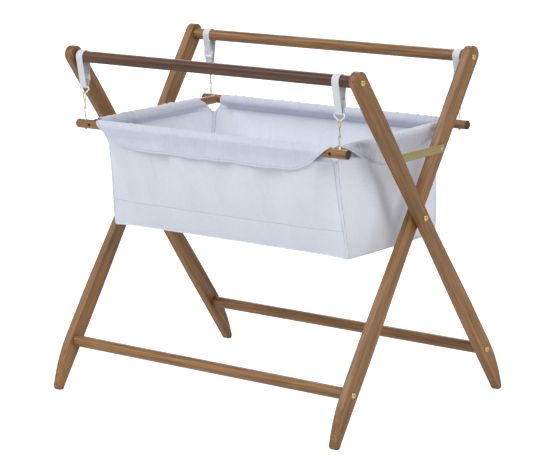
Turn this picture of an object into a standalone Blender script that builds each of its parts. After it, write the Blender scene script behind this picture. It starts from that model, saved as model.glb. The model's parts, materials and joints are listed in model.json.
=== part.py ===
"""Hanging bassinet on a folding wooden stand.

Two equal wooden frames cross like an X and turn on two pivot bolts. Frame A carries the front top
rail and the rear bottom rail, and frame B is the same frame turned half a turn about the vertical.
Four webbing hangers hold the basket, which is two long dowels, two end rails and a sewn fabric bag.

Units are metres. +X runs along the rails, -Y is the front, +Z is up, and the origin is on the floor
below the middle of the basket.
"""
import math

import bmesh
import bpy
from mathutils import Matrix, Vector

# ---- driving dimensions: the stand ---------------------------------------------------------------
RAIL_LENGTH = 0.836           # between the two legs of one frame
TOP_RAIL_Z = 0.825
TOP_RAIL_Y = 0.2355           # top rails stand this far in front of and behind the middle
PIVOT_Z = 0.4815
BOTTOM_RAIL_Z = 0.1135
RAIL_RADIUS = 0.014
LEG_WIDTH = 0.042             # across the wide face, at both ends
LEG_THICK = 0.022
LEG_TOP_REACH = 0.005         # from the top bolt to the centre of the leg's round end
LEG_EDGE_ROUND = 0.003
WAIST_REACH = 0.34            # the leg narrows towards the pivot over this length each way
WAIST_UPPER = 0.0055          # depth of the hollow in the upper edge
WAIST_LOWER = 0.0035          # depth of the hollow in the lower edge
LEG_GAP = 0.003               # running gap between crossing legs
FOOT_TIP_RADIUS = 0.009
FOOT_FLAT = 0.008             # flat on the very tip, which stands on the floor
FOOT_TAPER_ANGLE = math.radians(21.0)

# ---- driving dimensions: bolts and lock bars -----------------------------------------------------
BOLT_HEAD_RADIUS = 0.0075
BOLT_HEAD_HEIGHT = 0.0028
BOLT_SHANK_RADIUS = 0.003
BOLT_DEPTH_IN_RAIL = 0.035
SOCKET_RADIUS = 0.0026
SOCKET_DEPTH = 0.0018
PIVOT_RADIUS = 0.004
LOCK_BAR_RISE = 0.145         # from the pivot to the lock bar
LOCK_BAR_WIDTH = 0.020
LOCK_BAR_THICK = 0.0015
LOCK_BAR_END = 0.010          # from a pin to the end of the bar
LOCK_PIN_RADIUS = 0.002
RIVET_HEAD_RADIUS = 0.0036
RIVET_HEAD_HEIGHT = 0.0006
NOTCH_ANGLE = math.radians(35.0)
PIN_DEPTH = 0.010             # depth of a rivet or pin in the wood

# ---- driving dimensions: the basket --------------------------------------------------------------
DOWEL_RADIUS = 0.011
DOWEL_OVERHANG = 0.024        # dowel beyond the middle of a hanger
DOWEL_EDGE_ROUND = 0.002
END_RAIL_INSET = 0.021        # from the middle of a hanger in to the end rail
END_SCREW_RADIUS = 0.002
END_SCREW_HEAD_RADIUS = 0.0038
END_SCREW_GRIP = 0.028        # length of screw in the end rail
END_SCREW_SUNK = 0.0004       # the head's face below the skin of the dowel
END_SCREW_SEAT = 0.002        # wood left under the head
BAG_DEPTH = 0.2545            # from the dowels' axis to the bottom of the bag
BAG_END_TUCK = 0.009          # the bottom is this much inside each end rail
BAG_SIDE_TUCK = 0.0625        # the bottom is this much inside each dowel
BAG_CORNER_RADIUS = 0.020
BAG_THICK = 0.0025
FLAP_DROP = 0.061             # from the top of a dowel to the hem of the turned-down flap
LONG_SLEEVE_CUT = 0.051       # a long flap stops this far before the end rail
END_SLEEVE_CUT = 0.0605       # an end flap stops this far before the dowel
SLEEVE_ROOT = 0.012           # the sleeve reaches this far down inside the bag's wall
BOARD_THICK = 0.004
MATTRESS_THICK = 0.040
MATTRESS_PLAY = 0.006         # between mattress and fabric
MATTRESS_EDGE_ROUND = 0.008

# ---- driving dimensions: the hangers -------------------------------------------------------------
HANGER_INSET = 0.0185         # from the nearer leg's inner face to a hanger's middle
STRAP_WIDTH = 0.020
STRAP_THICK = 0.0016
RING_DROP = 0.0715            # from the rail's axis to the top of the ring's straight bar
RING_SIDE = 0.0065            # ring beyond each edge of the strap
RING_HEIGHT = 0.0205
RING_WIRE_RADIUS = 0.0018
RING_CORNER = 0.0042
RING_BOTTOM_RADIUS = 0.0062
SLIDER_DROP = 0.048           # from the rail's axis to the slider
SLIDER_HEIGHT = 0.017
SLIDER_SIDE = 0.003           # slider beyond each edge of the strap
SLIDER_THICK = 0.0060
SLIDER_CORNER = 0.003
SNAP_THICK = 0.0032
SNAP_STEM_WIDTH = 0.0034
HOOK_PLAY = 0.0006            # between the hook and the ring's wire
HOOK_OUTER = 0.0050
HOOK_DEPTH = 0.0113           # from the ring's wire down to the bottom of the hook's opening
GATE_OFFSET = 0.0037
GATE_RADIUS = 0.0010
GATE_LENGTH = 0.0086
GATE_THICK = 0.0026
SNAP_LENGTH = 0.0333          # from the ring's wire to the eye
SNAP_EYE_RADIUS = 0.0040
SNAP_EYE_HOLE = 0.0022
LOOP_WIRE_RADIUS = 0.0010
LOOP_LENGTH = 0.041           # from the eye to the dowel's axis
LOOP_WIDTH = 0.0085
LOOP_THROAT_GAP = 0.0002      # between the two runs of wire where they meet
LOOP_COLLAR_RADIUS = 0.0024
LOOP_COLLAR_HEIGHT = 0.0050
LOOP_SHANK_RADIUS = 0.0016
LOOP_NUT_RADIUS = 0.0032
LOOP_NUT_HEIGHT = 0.003

# ---- clearances ----------------------------------------------------------------------------------
CLEAR = 0.0003                # between pieces that touch
FABRIC_CLEAR = 0.0006         # between fabric and wood

# ---- sizes that follow ---------------------------------------------------------------------------
LEAN = math.atan2(TOP_RAIL_Y, TOP_RAIL_Z - PIVOT_Z)
FRAME_SHIFT = (LEG_THICK + LEG_GAP) / 2
RIGHT_LEG_X = RAIL_LENGTH / 2 + FRAME_SHIFT         # inner face of frame A's right leg
LEFT_LEG_X = -RAIL_LENGTH / 2 + FRAME_SHIFT         # inner face of frame A's left leg
HALF_WIDTH = LEG_WIDTH / 2
LOCK_BAR_Z = PIVOT_Z + LOCK_BAR_RISE
TOP_REACH = (TOP_RAIL_Z - PIVOT_Z) / math.cos(LEAN)
HANGER_X = RAIL_LENGTH / 2 - FRAME_SHIFT - HANGER_INSET
DOWEL_HALF_LENGTH = HANGER_X + DOWEL_OVERHANG
END_RAIL_X = HANGER_X - END_RAIL_INSET
LONG_SLEEVE_HALF = END_RAIL_X - LONG_SLEEVE_CUT
END_SLEEVE_HALF = TOP_RAIL_Y - END_SLEEVE_CUT
BAG_BOTTOM_HALF_LENGTH = END_RAIL_X - BAG_END_TUCK
BAG_BOTTOM_HALF_WIDTH = TOP_RAIL_Y - BAG_SIDE_TUCK
SLEEVE_INNER = DOWEL_RADIUS + FABRIC_CLEAR
SLEEVE_OUTER = SLEEVE_INNER + BAG_THICK
BAG_TOP_HALF_LENGTH = END_RAIL_X - SLEEVE_INNER
BAG_TOP_HALF_WIDTH = TOP_RAIL_Y - SLEEVE_INNER
RING_WIDTH = STRAP_WIDTH + 2 * RING_SIDE
SLIDER_WIDTH = STRAP_WIDTH + 2 * SLIDER_SIDE
RING_TOP_Z = TOP_RAIL_Z - RING_DROP
RING_BAR_Z = RING_TOP_Z - RING_WIRE_RADIUS
RING_BOTTOM_Z = RING_TOP_Z - RING_HEIGHT + RING_WIRE_RADIUS
HOOK_INNER = RING_WIRE_RADIUS + HOOK_PLAY
HOOK_LOW_Z = RING_BOTTOM_Z - HOOK_DEPTH
SNAP_EYE_Z = RING_BOTTOM_Z - SNAP_LENGTH
DOWEL_Z = SNAP_EYE_Z - LOOP_LENGTH
BAG_BOTTOM_Z = DOWEL_Z - BAG_DEPTH
GATE_PIVOT_Z = HOOK_LOW_Z - GATE_RADIUS
LOOP_CROWN_RADIUS = LOOP_WIDTH / 2 - LOOP_WIRE_RADIUS
LOOP_CROWN_DROP = SNAP_THICK ** 2 / 8 / LOOP_CROWN_RADIUS    # fall of the crown across the eye
LOOP_TOP_Z = SNAP_EYE_Z - SNAP_EYE_HOLE + LOOP_WIRE_RADIUS + CLEAR + LOOP_CROWN_DROP

WOOD = ("walnut_stained_beech", (0.235, 0.115, 0.050, 1.0), 0.45, 0.0)
BRASS = ("brass", (0.62, 0.47, 0.20, 1.0), 0.28, 1.0)
STEEL = ("steel_wire", (0.62, 0.63, 0.65, 1.0), 0.25, 1.0)
DARK_STEEL = ("dark_screw", (0.03, 0.03, 0.035, 1.0), 0.45, 1.0)
WEBBING = ("white_webbing", (0.78, 0.79, 0.83, 1.0), 0.85, 0.0)
PLASTIC = ("white_plastic", (0.80, 0.80, 0.81, 1.0), 0.35, 0.0)
FABRIC = ("white_fabric", (0.76, 0.78, 0.84, 1.0), 0.9, 0.0)
TICKING = ("mattress_cover", (0.80, 0.80, 0.82, 1.0), 0.9, 0.0)
HARDBOARD = ("hardboard", (0.33, 0.20, 0.11, 1.0), 0.7, 0.0)

HALF_TURN = math.pi


# ---- helpers -------------------------------------------------------------------------------------
def clear_scene():
    for item in list(bpy.data.objects):
        bpy.data.objects.remove(item, do_unlink=True)


def get_material(finish):
    name, colour, roughness, metallic = finish
    found = bpy.data.materials.get(name)
    if found:
        return found
    made = bpy.data.materials.new(name)
    made.use_nodes = True
    shader = made.node_tree.nodes["Principled BSDF"]
    shader.inputs["Base Color"].default_value = colour
    shader.inputs["Roughness"].default_value = roughness
    shader.inputs["Metallic"].default_value = metallic
    made.diffuse_color = colour
    return made


def add_object(name, bm, finish, axis=None, turn=0.0):
    """Make an object from a bmesh; axis is the empty it hangs from, turn is about the vertical."""
    bmesh.ops.recalc_face_normals(bm, faces=bm.faces)
    mesh = bpy.data.meshes.new(name)
    bm.to_mesh(mesh)
    bm.free()
    mesh.shade_smooth()
    mesh.set_sharp_from_angle(angle=math.radians(35.0))
    made = bpy.data.objects.new(name, mesh)
    bpy.context.collection.objects.link(made)
    if finish:
        mesh.materials.append(get_material(finish))
    made.rotation_euler.z = turn
    if axis:
        made.parent = axis
        made.matrix_parent_inverse = Matrix.Translation(-axis.location)
    return made


def add_axis(name, location, turn=0.0):
    """An empty on a joint's axis, whose place turns about the vertical with its pieces."""
    empty = bpy.data.objects.new(name, None)
    empty.empty_display_size = 0.03
    empty.location = Matrix.Rotation(turn, 3, "Z") @ Vector(location)
    bpy.context.collection.objects.link(empty)
    return empty


def combine(body, other_bm, operation):
    """Cut a closed shape from the body or join it on; it is given in the body's own coordinates."""
    other = add_object(f"{body.name}_{operation.lower()}_{len(body.modifiers)}", other_bm, None)
    other.rotation_euler = body.rotation_euler
    other.hide_render = True
    other.display_type = "WIRE"
    if body.parent:
        other.parent = body.parent
        other.matrix_parent_inverse = body.matrix_parent_inverse.copy()
    boolean = body.modifiers.new(operation.lower(), "BOOLEAN")
    boolean.operation = operation
    boolean.object = other


def cut(body, cutter_bm):
    combine(body, cutter_bm, "DIFFERENCE")


def join(body, other_bm):
    combine(body, other_bm, "UNION")


def soften(body, width, segments=2):
    bevel = body.modifiers.new("soften", "BEVEL")
    bevel.width = width
    bevel.segments = segments
    bevel.limit_method = "ANGLE"
    bevel.angle_limit = math.radians(50.0)
    bevel.harden_normals = False


def add_cylinder(bm, start, end, radius, sides=16, end_radius=None):
    start, end = Vector(start), Vector(end)
    reach = end - start
    place = Matrix.Translation((start + end) / 2) @ reach.to_track_quat("Z", "Y").to_matrix().to_4x4()
    bmesh.ops.create_cone(bm, cap_ends=True, segments=sides, radius1=radius,
                          radius2=radius if end_radius is None else end_radius,
                          depth=reach.length, matrix=place)


def add_prism(bm, outline, place, depth):
    """Extrude a closed outline; place turns a 2-D point and a depth into a 3-D point."""
    near = [bm.verts.new(place(a, b, 0.0)) for a, b in outline]
    far = [bm.verts.new(place(a, b, depth)) for a, b in outline]
    bm.faces.new(near)
    bm.faces.new(list(reversed(far)))
    for i in range(len(outline)):
        j = (i + 1) % len(outline)
        bm.faces.new((near[i], far[i], far[j], near[j]))


def add_stack(bm, rings):
    """Join rings of equal counts one after another and close both ends."""
    rows = [[bm.verts.new(point) for point in ring] for ring in rings]
    count = len(rows[0])
    for lower, upper in zip(rows, rows[1:]):
        for i in range(count):
            j = (i + 1) % count
            bm.faces.new((lower[i], lower[j], upper[j], upper[i]))
    bm.faces.new(list(reversed(rows[0])))
    bm.faces.new(rows[-1])


def add_tube(bm, path, radius, sides=6, closed=True, side_way=Vector((0, 1, 0))):
    """Sweep a round section along a flat path; side_way is the normal of the path's plane."""
    rows = []
    count = len(path)
    for i, point in enumerate(path):
        ahead = path[(i + 1) % count] if closed or i + 1 < count else point
        behind = path[i - 1] if closed or i > 0 else point
        along = (Vector(ahead) - Vector(behind)).normalized()
        across = along.cross(side_way).normalized()
        ring = []
        for k in range(sides):
            angle = 2 * math.pi * k / sides
            offset = across * math.cos(angle) + side_way * math.sin(angle)
            ring.append(bm.verts.new(Vector(point) + offset * radius))
        rows.append(ring)
    pairs = list(zip(rows, rows[1:])) + ([(rows[-1], rows[0])] if closed else [])
    for lower, upper in pairs:
        for k in range(sides):
            m = (k + 1) % sides
            bm.faces.new((lower[k], lower[m], upper[m], upper[k]))
    if not closed:
        bm.faces.new(list(reversed(rows[0])))
        bm.faces.new(rows[-1])


def arc(centre, radius, first, last, steps):
    """Points on an arc, from one angle to another, both ends included."""
    return [(centre[0] + radius * math.cos(first + (last - first) * i / steps),
             centre[1] + radius * math.sin(first + (last - first) * i / steps))
            for i in range(steps + 1)]


def bezier(start, control, end, steps):
    """Points on a quadratic curve, without its two ends."""
    points = []
    for i in range(1, steps):
        t = i / steps
        points.append(tuple((1 - t) ** 2 * a + 2 * t * (1 - t) * b + t * t * c
                            for a, b, c in zip(start, control, end)))
    return points


def rounded_rectangle(half_a, half_b, radius, steps=5):
    points = []
    for k, (sign_a, sign_b) in enumerate(((1, 1), (-1, 1), (-1, -1), (1, -1))):
        centre = (sign_a * (half_a - radius), sign_b * (half_b - radius))
        points += arc(centre, radius, k * math.pi / 2, (k + 1) * math.pi / 2, steps)
    return points


# ---- the stand's frames --------------------------------------------------------------------------
def on_leg(along, across):
    """A point on frame A's leg as (y, z): along is up the leg from the pivot, across is upwards."""
    return (across * math.cos(LEAN) - along * math.sin(LEAN),
            PIVOT_Z + along * math.cos(LEAN) + across * math.sin(LEAN))


def waist(along, depth):
    """Depth of the hollow edge: deepest at the pivot and fading smoothly to nothing."""
    share = min(abs(along) / WAIST_REACH, 1.0)
    return depth * (1 - share ** 2) ** 2


def leg_outline():
    """The leg's wide face: hollow long edges, a round top and a foot that tapers to a small tip."""
    top_centre = TOP_REACH + LEG_TOP_REACH
    tip_across = FOOT_TIP_RADIUS - HALF_WIDTH
    tip_height = math.sqrt(FOOT_TIP_RADIUS ** 2 - (FOOT_FLAT / 2) ** 2)
    tip_along = (tip_height - PIVOT_Z - tip_across * math.sin(LEAN)) / math.cos(LEAN)
    half_flat = math.asin(FOOT_FLAT / 2 / FOOT_TIP_RADIUS)
    down = math.pi + LEAN                      # direction of the floor, as (along, across)

    taper_end = (tip_along - FOOT_TIP_RADIUS * math.sin(FOOT_TAPER_ANGLE),
                 tip_across + FOOT_TIP_RADIUS * math.cos(FOOT_TAPER_ANGLE))
    run = (HALF_WIDTH - taper_end[1]) / math.tan(FOOT_TAPER_ANGLE)
    taper_middle = (taper_end[0] + run, HALF_WIDTH)
    taper_start = (taper_end[0] + 2 * run, HALF_WIDTH)

    stations = [top_centre - (top_centre - taper_start[0]) * i / 18 for i in range(1, 18)]
    points = arc((top_centre, 0.0), HALF_WIDTH, -math.pi / 2, math.pi / 2, 12)
    points += [(s, HALF_WIDTH - waist(s, WAIST_UPPER)) for s in stations]
    points += [taper_start] + bezier(taper_start, taper_middle, taper_end, 6)
    points += arc((tip_along, tip_across), FOOT_TIP_RADIUS,
                  math.pi / 2 + FOOT_TAPER_ANGLE, down - half_flat, 4)
    points += arc((tip_along, tip_across), FOOT_TIP_RADIUS, down + half_flat, 1.5 * math.pi, 2)
    points += [(s, waist(s, WAIST_LOWER) - HALF_WIDTH) for s in reversed(stations)]
    return points


def leg_piece(name, inner_x, outward, holes, axis, turn):
    """A leg with its wide faces square to X; each hole is (y, z, radius, depth from inner face)."""
    bm = bmesh.new()
    add_prism(bm, leg_outline(),
              lambda along, across, depth: (inner_x + outward * depth, *on_leg(along, across)),
              LEG_THICK)
    leg = add_object(name, bm, WOOD, axis, turn)
    soften(leg, LEG_EDGE_ROUND)
    cutter = bmesh.new()
    for y, z, radius, first, last in holes:
        add_cylinder(cutter, (inner_x + outward * first, y, z), (inner_x + outward * last, y, z),
                     radius)
    cut(leg, cutter)
    return leg


def rail_piece(name, y, z, axis, turn):
    bm = bmesh.new()
    ends = (LEFT_LEG_X + CLEAR, RIGHT_LEG_X - CLEAR)
    add_cylinder(bm, (ends[0], y, z), (ends[1], y, z), RAIL_RADIUS, 24)
    rail = add_object(name, bm, WOOD, axis, turn)
    cutter = bmesh.new()
    depth = BOLT_DEPTH_IN_RAIL + CLEAR
    for end, inward in zip(ends, (1, -1)):
        add_cylinder(cutter, (end - inward * LEG_EDGE_ROUND, y, z), (end + inward * depth, y, z),
                     BOLT_SHANK_RADIUS + CLEAR, 12)
    cut(rail, cutter)


def bolt_piece(name, face_x, outward, y, z, shank_end_x, shank_radius, axis, turn, tail=False):
    """A domed brass bolt on an outer face, with a socket in its head; a tail forms the far end."""
    def at(out, radius, count=16):
        x = face_x + outward * out
        return [(x, y + radius * math.cos(2 * math.pi * k / count),
                 z + radius * math.sin(2 * math.pi * k / count)) for k in range(count)]

    reach = (shank_end_x - face_x) * outward
    rings = [at(BOLT_HEAD_HEIGHT - SOCKET_DEPTH, SOCKET_RADIUS),
             at(BOLT_HEAD_HEIGHT, SOCKET_RADIUS),
             at(BOLT_HEAD_HEIGHT, BOLT_HEAD_RADIUS * 0.62),
             at(BOLT_HEAD_HEIGHT * 0.72, BOLT_HEAD_RADIUS * 0.88),
             at(BOLT_HEAD_HEIGHT * 0.35, BOLT_HEAD_RADIUS),
             at(CLEAR, BOLT_HEAD_RADIUS),
             at(CLEAR, shank_radius)]
    if tail:
        tail_radius = shank_radius * 1.6
        rings += [at(reach, shank_radius), at(reach, tail_radius),
                  at(reach - BOLT_HEAD_HEIGHT * 0.5, tail_radius),
                  at(reach - BOLT_HEAD_HEIGHT * 0.8, shank_radius)]
    else:
        rings += [at(reach, shank_radius)]
    bm = bmesh.new()
    add_stack(bm, rings)
    add_object(name, bm, BRASS, axis, turn)


def lock_bar_pins():
    """The (y, z) of the catch pin on leg A and of the rivet on leg B, both on the legs' middles."""
    reach = (LOCK_BAR_Z - PIVOT_Z) * math.tan(LEAN)
    return (-reach, LOCK_BAR_Z), (reach, LOCK_BAR_Z)


def build_frame(tag, axis, turn):
    """One frame, as frame A; its right leg is outermost and its left leg runs inside frame B's."""
    catch, rivet = lock_bar_pins()
    bottom_y = (PIVOT_Z - BOTTOM_RAIL_Z) * math.tan(LEAN)
    top = (-TOP_RAIL_Y, TOP_RAIL_Z)
    bottom = (bottom_y, BOTTOM_RAIL_Z)
    through = (-LEG_EDGE_ROUND, LEG_THICK + LEG_EDGE_ROUND)
    bolt_hole = BOLT_SHANK_RADIUS + CLEAR
    pin_hole = LOCK_PIN_RADIUS + CLEAR
    holes = [(*top, bolt_hole, *through), (*bottom, bolt_hole, *through),
             (0.0, PIVOT_Z, PIVOT_RADIUS + CLEAR, *through)]

    right_pin = (*catch, pin_hole, -LEG_EDGE_ROUND, PIN_DEPTH + CLEAR)
    leg_piece(tag + "_outer_leg", RIGHT_LEG_X, 1, holes + [right_pin], axis, turn)
    mirrored_rivet = (-rivet[0], rivet[1])
    left_pin = (*mirrored_rivet, pin_hole, LEG_THICK - PIN_DEPTH - CLEAR, LEG_THICK + LEG_EDGE_ROUND)
    leg_piece(tag + "_inner_leg", LEFT_LEG_X, -1, holes + [left_pin], axis, turn)
    rail_piece(tag + "_top_rail", *top, axis, turn)
    rail_piece(tag + "_bottom_rail", *bottom, axis, turn)

    for side, inner_x, outward in (("outer", RIGHT_LEG_X, 1), ("inner", LEFT_LEG_X, -1)):
        face_x = inner_x + outward * LEG_THICK
        end_x = inner_x - outward * BOLT_DEPTH_IN_RAIL
        for level, (y, z) in (("top", top), ("bottom", bottom)):
            bolt_piece(f"{tag}_{side}_{level}_bolt", face_x, outward, y, z, end_x,
                       BOLT_SHANK_RADIUS, axis, turn)


def build_pivot(name, axis, turn):
    """The bolt that frame A and frame B turn on, with a formed inner end."""
    face_x = RIGHT_LEG_X + LEG_THICK
    end_x = RIGHT_LEG_X - LEG_GAP - LEG_THICK - CLEAR
    bolt_piece(name, face_x, 1, 0.0, PIVOT_Z, end_x, PIVOT_RADIUS, axis, turn, tail=True)


def build_lock_bar(tag, bar_axis, rivet_axis, catch_axis, turn):
    """A flat brass bar in the gap between the right legs, with its rivet and its catch pin.

    The bar turns on the rivet in frame B's leg and its notch drops over the pin in frame A's leg.
    """
    catch, rivet = lock_bar_pins()
    near_b = RIGHT_LEG_X - LEG_GAP + CLEAR
    half = LOCK_BAR_WIDTH / 2
    slot = LOCK_PIN_RADIUS + CLEAR
    bm = bmesh.new()
    ends = (catch[0] - LOCK_BAR_END, rivet[0] + LOCK_BAR_END)
    outline = [(ends[0], LOCK_BAR_Z - half), (ends[1], LOCK_BAR_Z - half),
               (ends[1], LOCK_BAR_Z + half), (ends[0], LOCK_BAR_Z + half)]
    add_prism(bm, outline, lambda y, z, depth: (near_b + depth, y, z), LOCK_BAR_THICK)
    bar = add_object(tag + "_lock_bar", bm, BRASS, bar_axis, turn)
    reach = 2 * LOCK_BAR_WIDTH
    away = (math.sin(NOTCH_ANGLE), -math.cos(NOTCH_ANGLE))        # the way the notch opens
    side = (-away[1] * slot, away[0] * slot)
    mouth = [(catch[0] + side[0] + away[0] * reach, LOCK_BAR_Z + side[1] + away[1] * reach)]
    back = math.atan2(side[1], side[0])
    mouth += arc(catch, slot, back, back + math.pi, 8)
    mouth += [(catch[0] - side[0] + away[0] * reach, LOCK_BAR_Z - side[1] + away[1] * reach)]
    cutter = bmesh.new()
    add_prism(cutter, mouth, lambda y, z, depth: (near_b - LOCK_BAR_THICK + depth, y, z),
              3 * LOCK_BAR_THICK)
    add_cylinder(cutter, (near_b - LOCK_BAR_THICK, *rivet), (near_b + 2 * LOCK_BAR_THICK, *rivet),
                 slot)
    cut(bar, cutter)

    bm = bmesh.new()
    head_x = near_b + LOCK_BAR_THICK + CLEAR
    add_stack(bm, [circle_x(near_b - CLEAR - PIN_DEPTH, rivet, LOCK_PIN_RADIUS),
                   circle_x(head_x, rivet, LOCK_PIN_RADIUS),
                   circle_x(head_x, rivet, RIVET_HEAD_RADIUS),
                   circle_x(head_x + RIVET_HEAD_HEIGHT, rivet, RIVET_HEAD_RADIUS * 0.8)])
    add_object(tag + "_lock_rivet", bm, BRASS, rivet_axis, turn)
    bm = bmesh.new()
    add_cylinder(bm, (near_b, *catch), (RIGHT_LEG_X + PIN_DEPTH, *catch), LOCK_PIN_RADIUS, 12)
    add_object(tag + "_catch_pin", bm, BRASS, catch_axis, turn)


def circle_x(x, centre, radius, count=12):
    return [(x, centre[0] + radius * math.cos(2 * math.pi * k / count),
             centre[1] + radius * math.sin(2 * math.pi * k / count)) for k in range(count)]


# ---- the basket ----------------------------------------------------------------------------------
def build_dowel(name, axis, turn):
    """A long dowel, drilled for the two end-rail screws and the two wire loops."""
    bm = bmesh.new()
    full, slim = DOWEL_RADIUS, DOWEL_RADIUS - DOWEL_EDGE_ROUND
    stations = [(-DOWEL_HALF_LENGTH, slim), (-DOWEL_HALF_LENGTH + DOWEL_EDGE_ROUND, full),
                (DOWEL_HALF_LENGTH - DOWEL_EDGE_ROUND, full), (DOWEL_HALF_LENGTH, slim)]
    add_stack(bm, [circle_x(x, (-TOP_RAIL_Y, DOWEL_Z), radius, 20) for x, radius in stations])
    dowel = add_object(name, bm, WOOD, axis, turn)
    cutter = bmesh.new()
    beyond = 2 * DOWEL_RADIUS
    for side in (1, -1):
        x = side * END_RAIL_X
        add_cylinder(cutter, (x, -TOP_RAIL_Y - beyond, DOWEL_Z), (x, -TOP_RAIL_Y + beyond, DOWEL_Z),
                     END_SCREW_HEAD_RADIUS + CLEAR, 12)
        x = side * HANGER_X
        add_cylinder(cutter, (x, -TOP_RAIL_Y, DOWEL_Z - beyond), (x, -TOP_RAIL_Y, DOWEL_Z + beyond),
                     LOOP_SHANK_RADIUS + CLEAR, 12)
    cut(dowel, cutter)


def build_end_rail(name, axis, turn):
    """A round rail between the dowels, with a pilot hole in each end."""
    reach = TOP_RAIL_Y - DOWEL_RADIUS - CLEAR
    bm = bmesh.new()
    add_cylinder(bm, (END_RAIL_X, -reach, DOWEL_Z), (END_RAIL_X, reach, DOWEL_Z), DOWEL_RADIUS, 20)
    rail = add_object(name, bm, WOOD, axis, turn)
    cutter = bmesh.new()
    for way in (1, -1):
        add_cylinder(cutter, (END_RAIL_X, way * (reach + DOWEL_RADIUS), DOWEL_Z),
                     (END_RAIL_X, way * (reach - END_SCREW_GRIP - CLEAR), DOWEL_Z),
                     END_SCREW_RADIUS + CLEAR, 12)
    cut(rail, cutter)


def build_end_screw(name, side, axis, turn):
    """A barrel-headed screw through the dowel into the end rail; its head is just below the wood."""
    face = -TOP_RAIL_Y - DOWEL_RADIUS + END_SCREW_SUNK
    head_end = -TOP_RAIL_Y + DOWEL_RADIUS - END_SCREW_SEAT
    tip = -TOP_RAIL_Y + DOWEL_RADIUS + CLEAR + END_SCREW_GRIP

    def at(y, radius, count=12):
        return [(side * END_RAIL_X + radius * math.cos(2 * math.pi * k / count), y,
                 DOWEL_Z + radius * math.sin(2 * math.pi * k / count)) for k in range(count)]

    bm = bmesh.new()
    add_stack(bm, [at(face + SOCKET_DEPTH, END_SCREW_RADIUS), at(face, END_SCREW_RADIUS),
                   at(face, END_SCREW_HEAD_RADIUS), at(head_end, END_SCREW_HEAD_RADIUS),
                   at(head_end, END_SCREW_RADIUS), at(tip, END_SCREW_RADIUS)])
    add_object(name, bm, DARK_STEEL, axis, turn)


def build_wire_loop(name, x, axis, turn):
    """A teardrop of wire held in a collar, on a shank through the dowel into a small nut."""
    centre_z = LOOP_TOP_Z - LOOP_CROWN_RADIUS
    collar_top = DOWEL_Z + DOWEL_RADIUS + LOOP_COLLAR_HEIGHT
    foot_z = collar_top - LOOP_COLLAR_HEIGHT / 2
    throat = LOOP_WIRE_RADIUS + LOOP_THROAT_GAP / 2
    start = -math.radians(12.0)
    crown = arc((0.0, centre_z), LOOP_CROWN_RADIUS, start, math.pi - start, 12)
    bend = (centre_z + collar_top) / 2
    outline = [(throat, foot_z)] + bezier((throat, foot_z), (throat * 1.2, bend), crown[0], 5)
    outline += crown + bezier(crown[-1], (-throat * 1.2, bend), (-throat, foot_z), 5)
    outline += [(-throat, foot_z)]
    bm = bmesh.new()
    add_tube(bm, [Vector((x + a, -TOP_RAIL_Y, b)) for a, b in outline], LOOP_WIRE_RADIUS, closed=False)
    loop = add_object(name, bm, STEEL, axis, turn)
    nut_top = DOWEL_Z - DOWEL_RADIUS - CLEAR
    collar_low = DOWEL_Z + DOWEL_RADIUS + CLEAR
    levels = [(collar_top, LOOP_COLLAR_RADIUS), (collar_low, LOOP_COLLAR_RADIUS),
              (collar_low, LOOP_SHANK_RADIUS), (nut_top, LOOP_SHANK_RADIUS),
              (nut_top, LOOP_NUT_RADIUS), (nut_top - LOOP_NUT_HEIGHT, LOOP_NUT_RADIUS * 0.8)]
    shank = bmesh.new()
    add_stack(shank, [[(x + radius * math.cos(2 * math.pi * k / 12),
                        -TOP_RAIL_Y + radius * math.sin(2 * math.pi * k / 12), z)
                       for k in range(12)] for z, radius in levels])
    join(loop, shank)


def sleeve_profile():
    """Section of the fabric over a dowel, as (outward, up) from the dowel's axis."""
    outside = arc((0.0, 0.0), SLEEVE_OUTER, math.pi, 0.0, 10)
    inside = arc((0.0, 0.0), SLEEVE_INNER, 0.0, math.pi, 10)
    hem = DOWEL_RADIUS - FLAP_DROP
    skirt = [(SLEEVE_OUTER, hem), (SLEEVE_INNER, hem)]
    return [(-SLEEVE_OUTER, -SLEEVE_ROOT)] + outside + skirt + inside + [(-SLEEVE_INNER, -SLEEVE_ROOT)]


def bag_ring(half_length, half_width, radius, z):
    return [(x, y, z) for x, y in rounded_rectangle(half_length, half_width, radius)]


def build_bag(name, axis):
    """An open tapered bag whose four sides turn out over the dowels and end rails as flaps."""
    slope = (BAG_TOP_HALF_WIDTH - BAG_BOTTOM_HALF_WIDTH) / (DOWEL_Z - BAG_BOTTOM_Z)
    inner_radius = BAG_CORNER_RADIUS - BAG_THICK
    floor_z = BAG_BOTTOM_Z + BAG_THICK
    floor_half_width = BAG_BOTTOM_HALF_WIDTH + slope * BAG_THICK - BAG_THICK
    rings = [bag_ring(BAG_BOTTOM_HALF_LENGTH, BAG_BOTTOM_HALF_WIDTH, BAG_CORNER_RADIUS, BAG_BOTTOM_Z),
             bag_ring(BAG_TOP_HALF_LENGTH, BAG_TOP_HALF_WIDTH, BAG_CORNER_RADIUS, DOWEL_Z),
             bag_ring(BAG_TOP_HALF_LENGTH - BAG_THICK, BAG_TOP_HALF_WIDTH - BAG_THICK,
                      inner_radius, DOWEL_Z),
             bag_ring(BAG_BOTTOM_HALF_LENGTH - BAG_THICK, floor_half_width, inner_radius, floor_z)]
    bm = bmesh.new()
    add_stack(bm, rings)
    bag = add_object(name, bm, FABRIC, axis)
    for way in (1, -1):
        strip = bmesh.new()
        add_prism(strip, sleeve_profile(),
                  lambda out, up, depth: (depth - LONG_SLEEVE_HALF, way * (TOP_RAIL_Y + out), DOWEL_Z + up),
                  2 * LONG_SLEEVE_HALF)
        join(bag, strip)
        strip = bmesh.new()
        add_prism(strip, sleeve_profile(),
                  lambda out, up, depth: (way * (END_RAIL_X + out), depth - END_SLEEVE_HALF, DOWEL_Z + up),
                  2 * END_SLEEVE_HALF)
        join(bag, strip)


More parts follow.
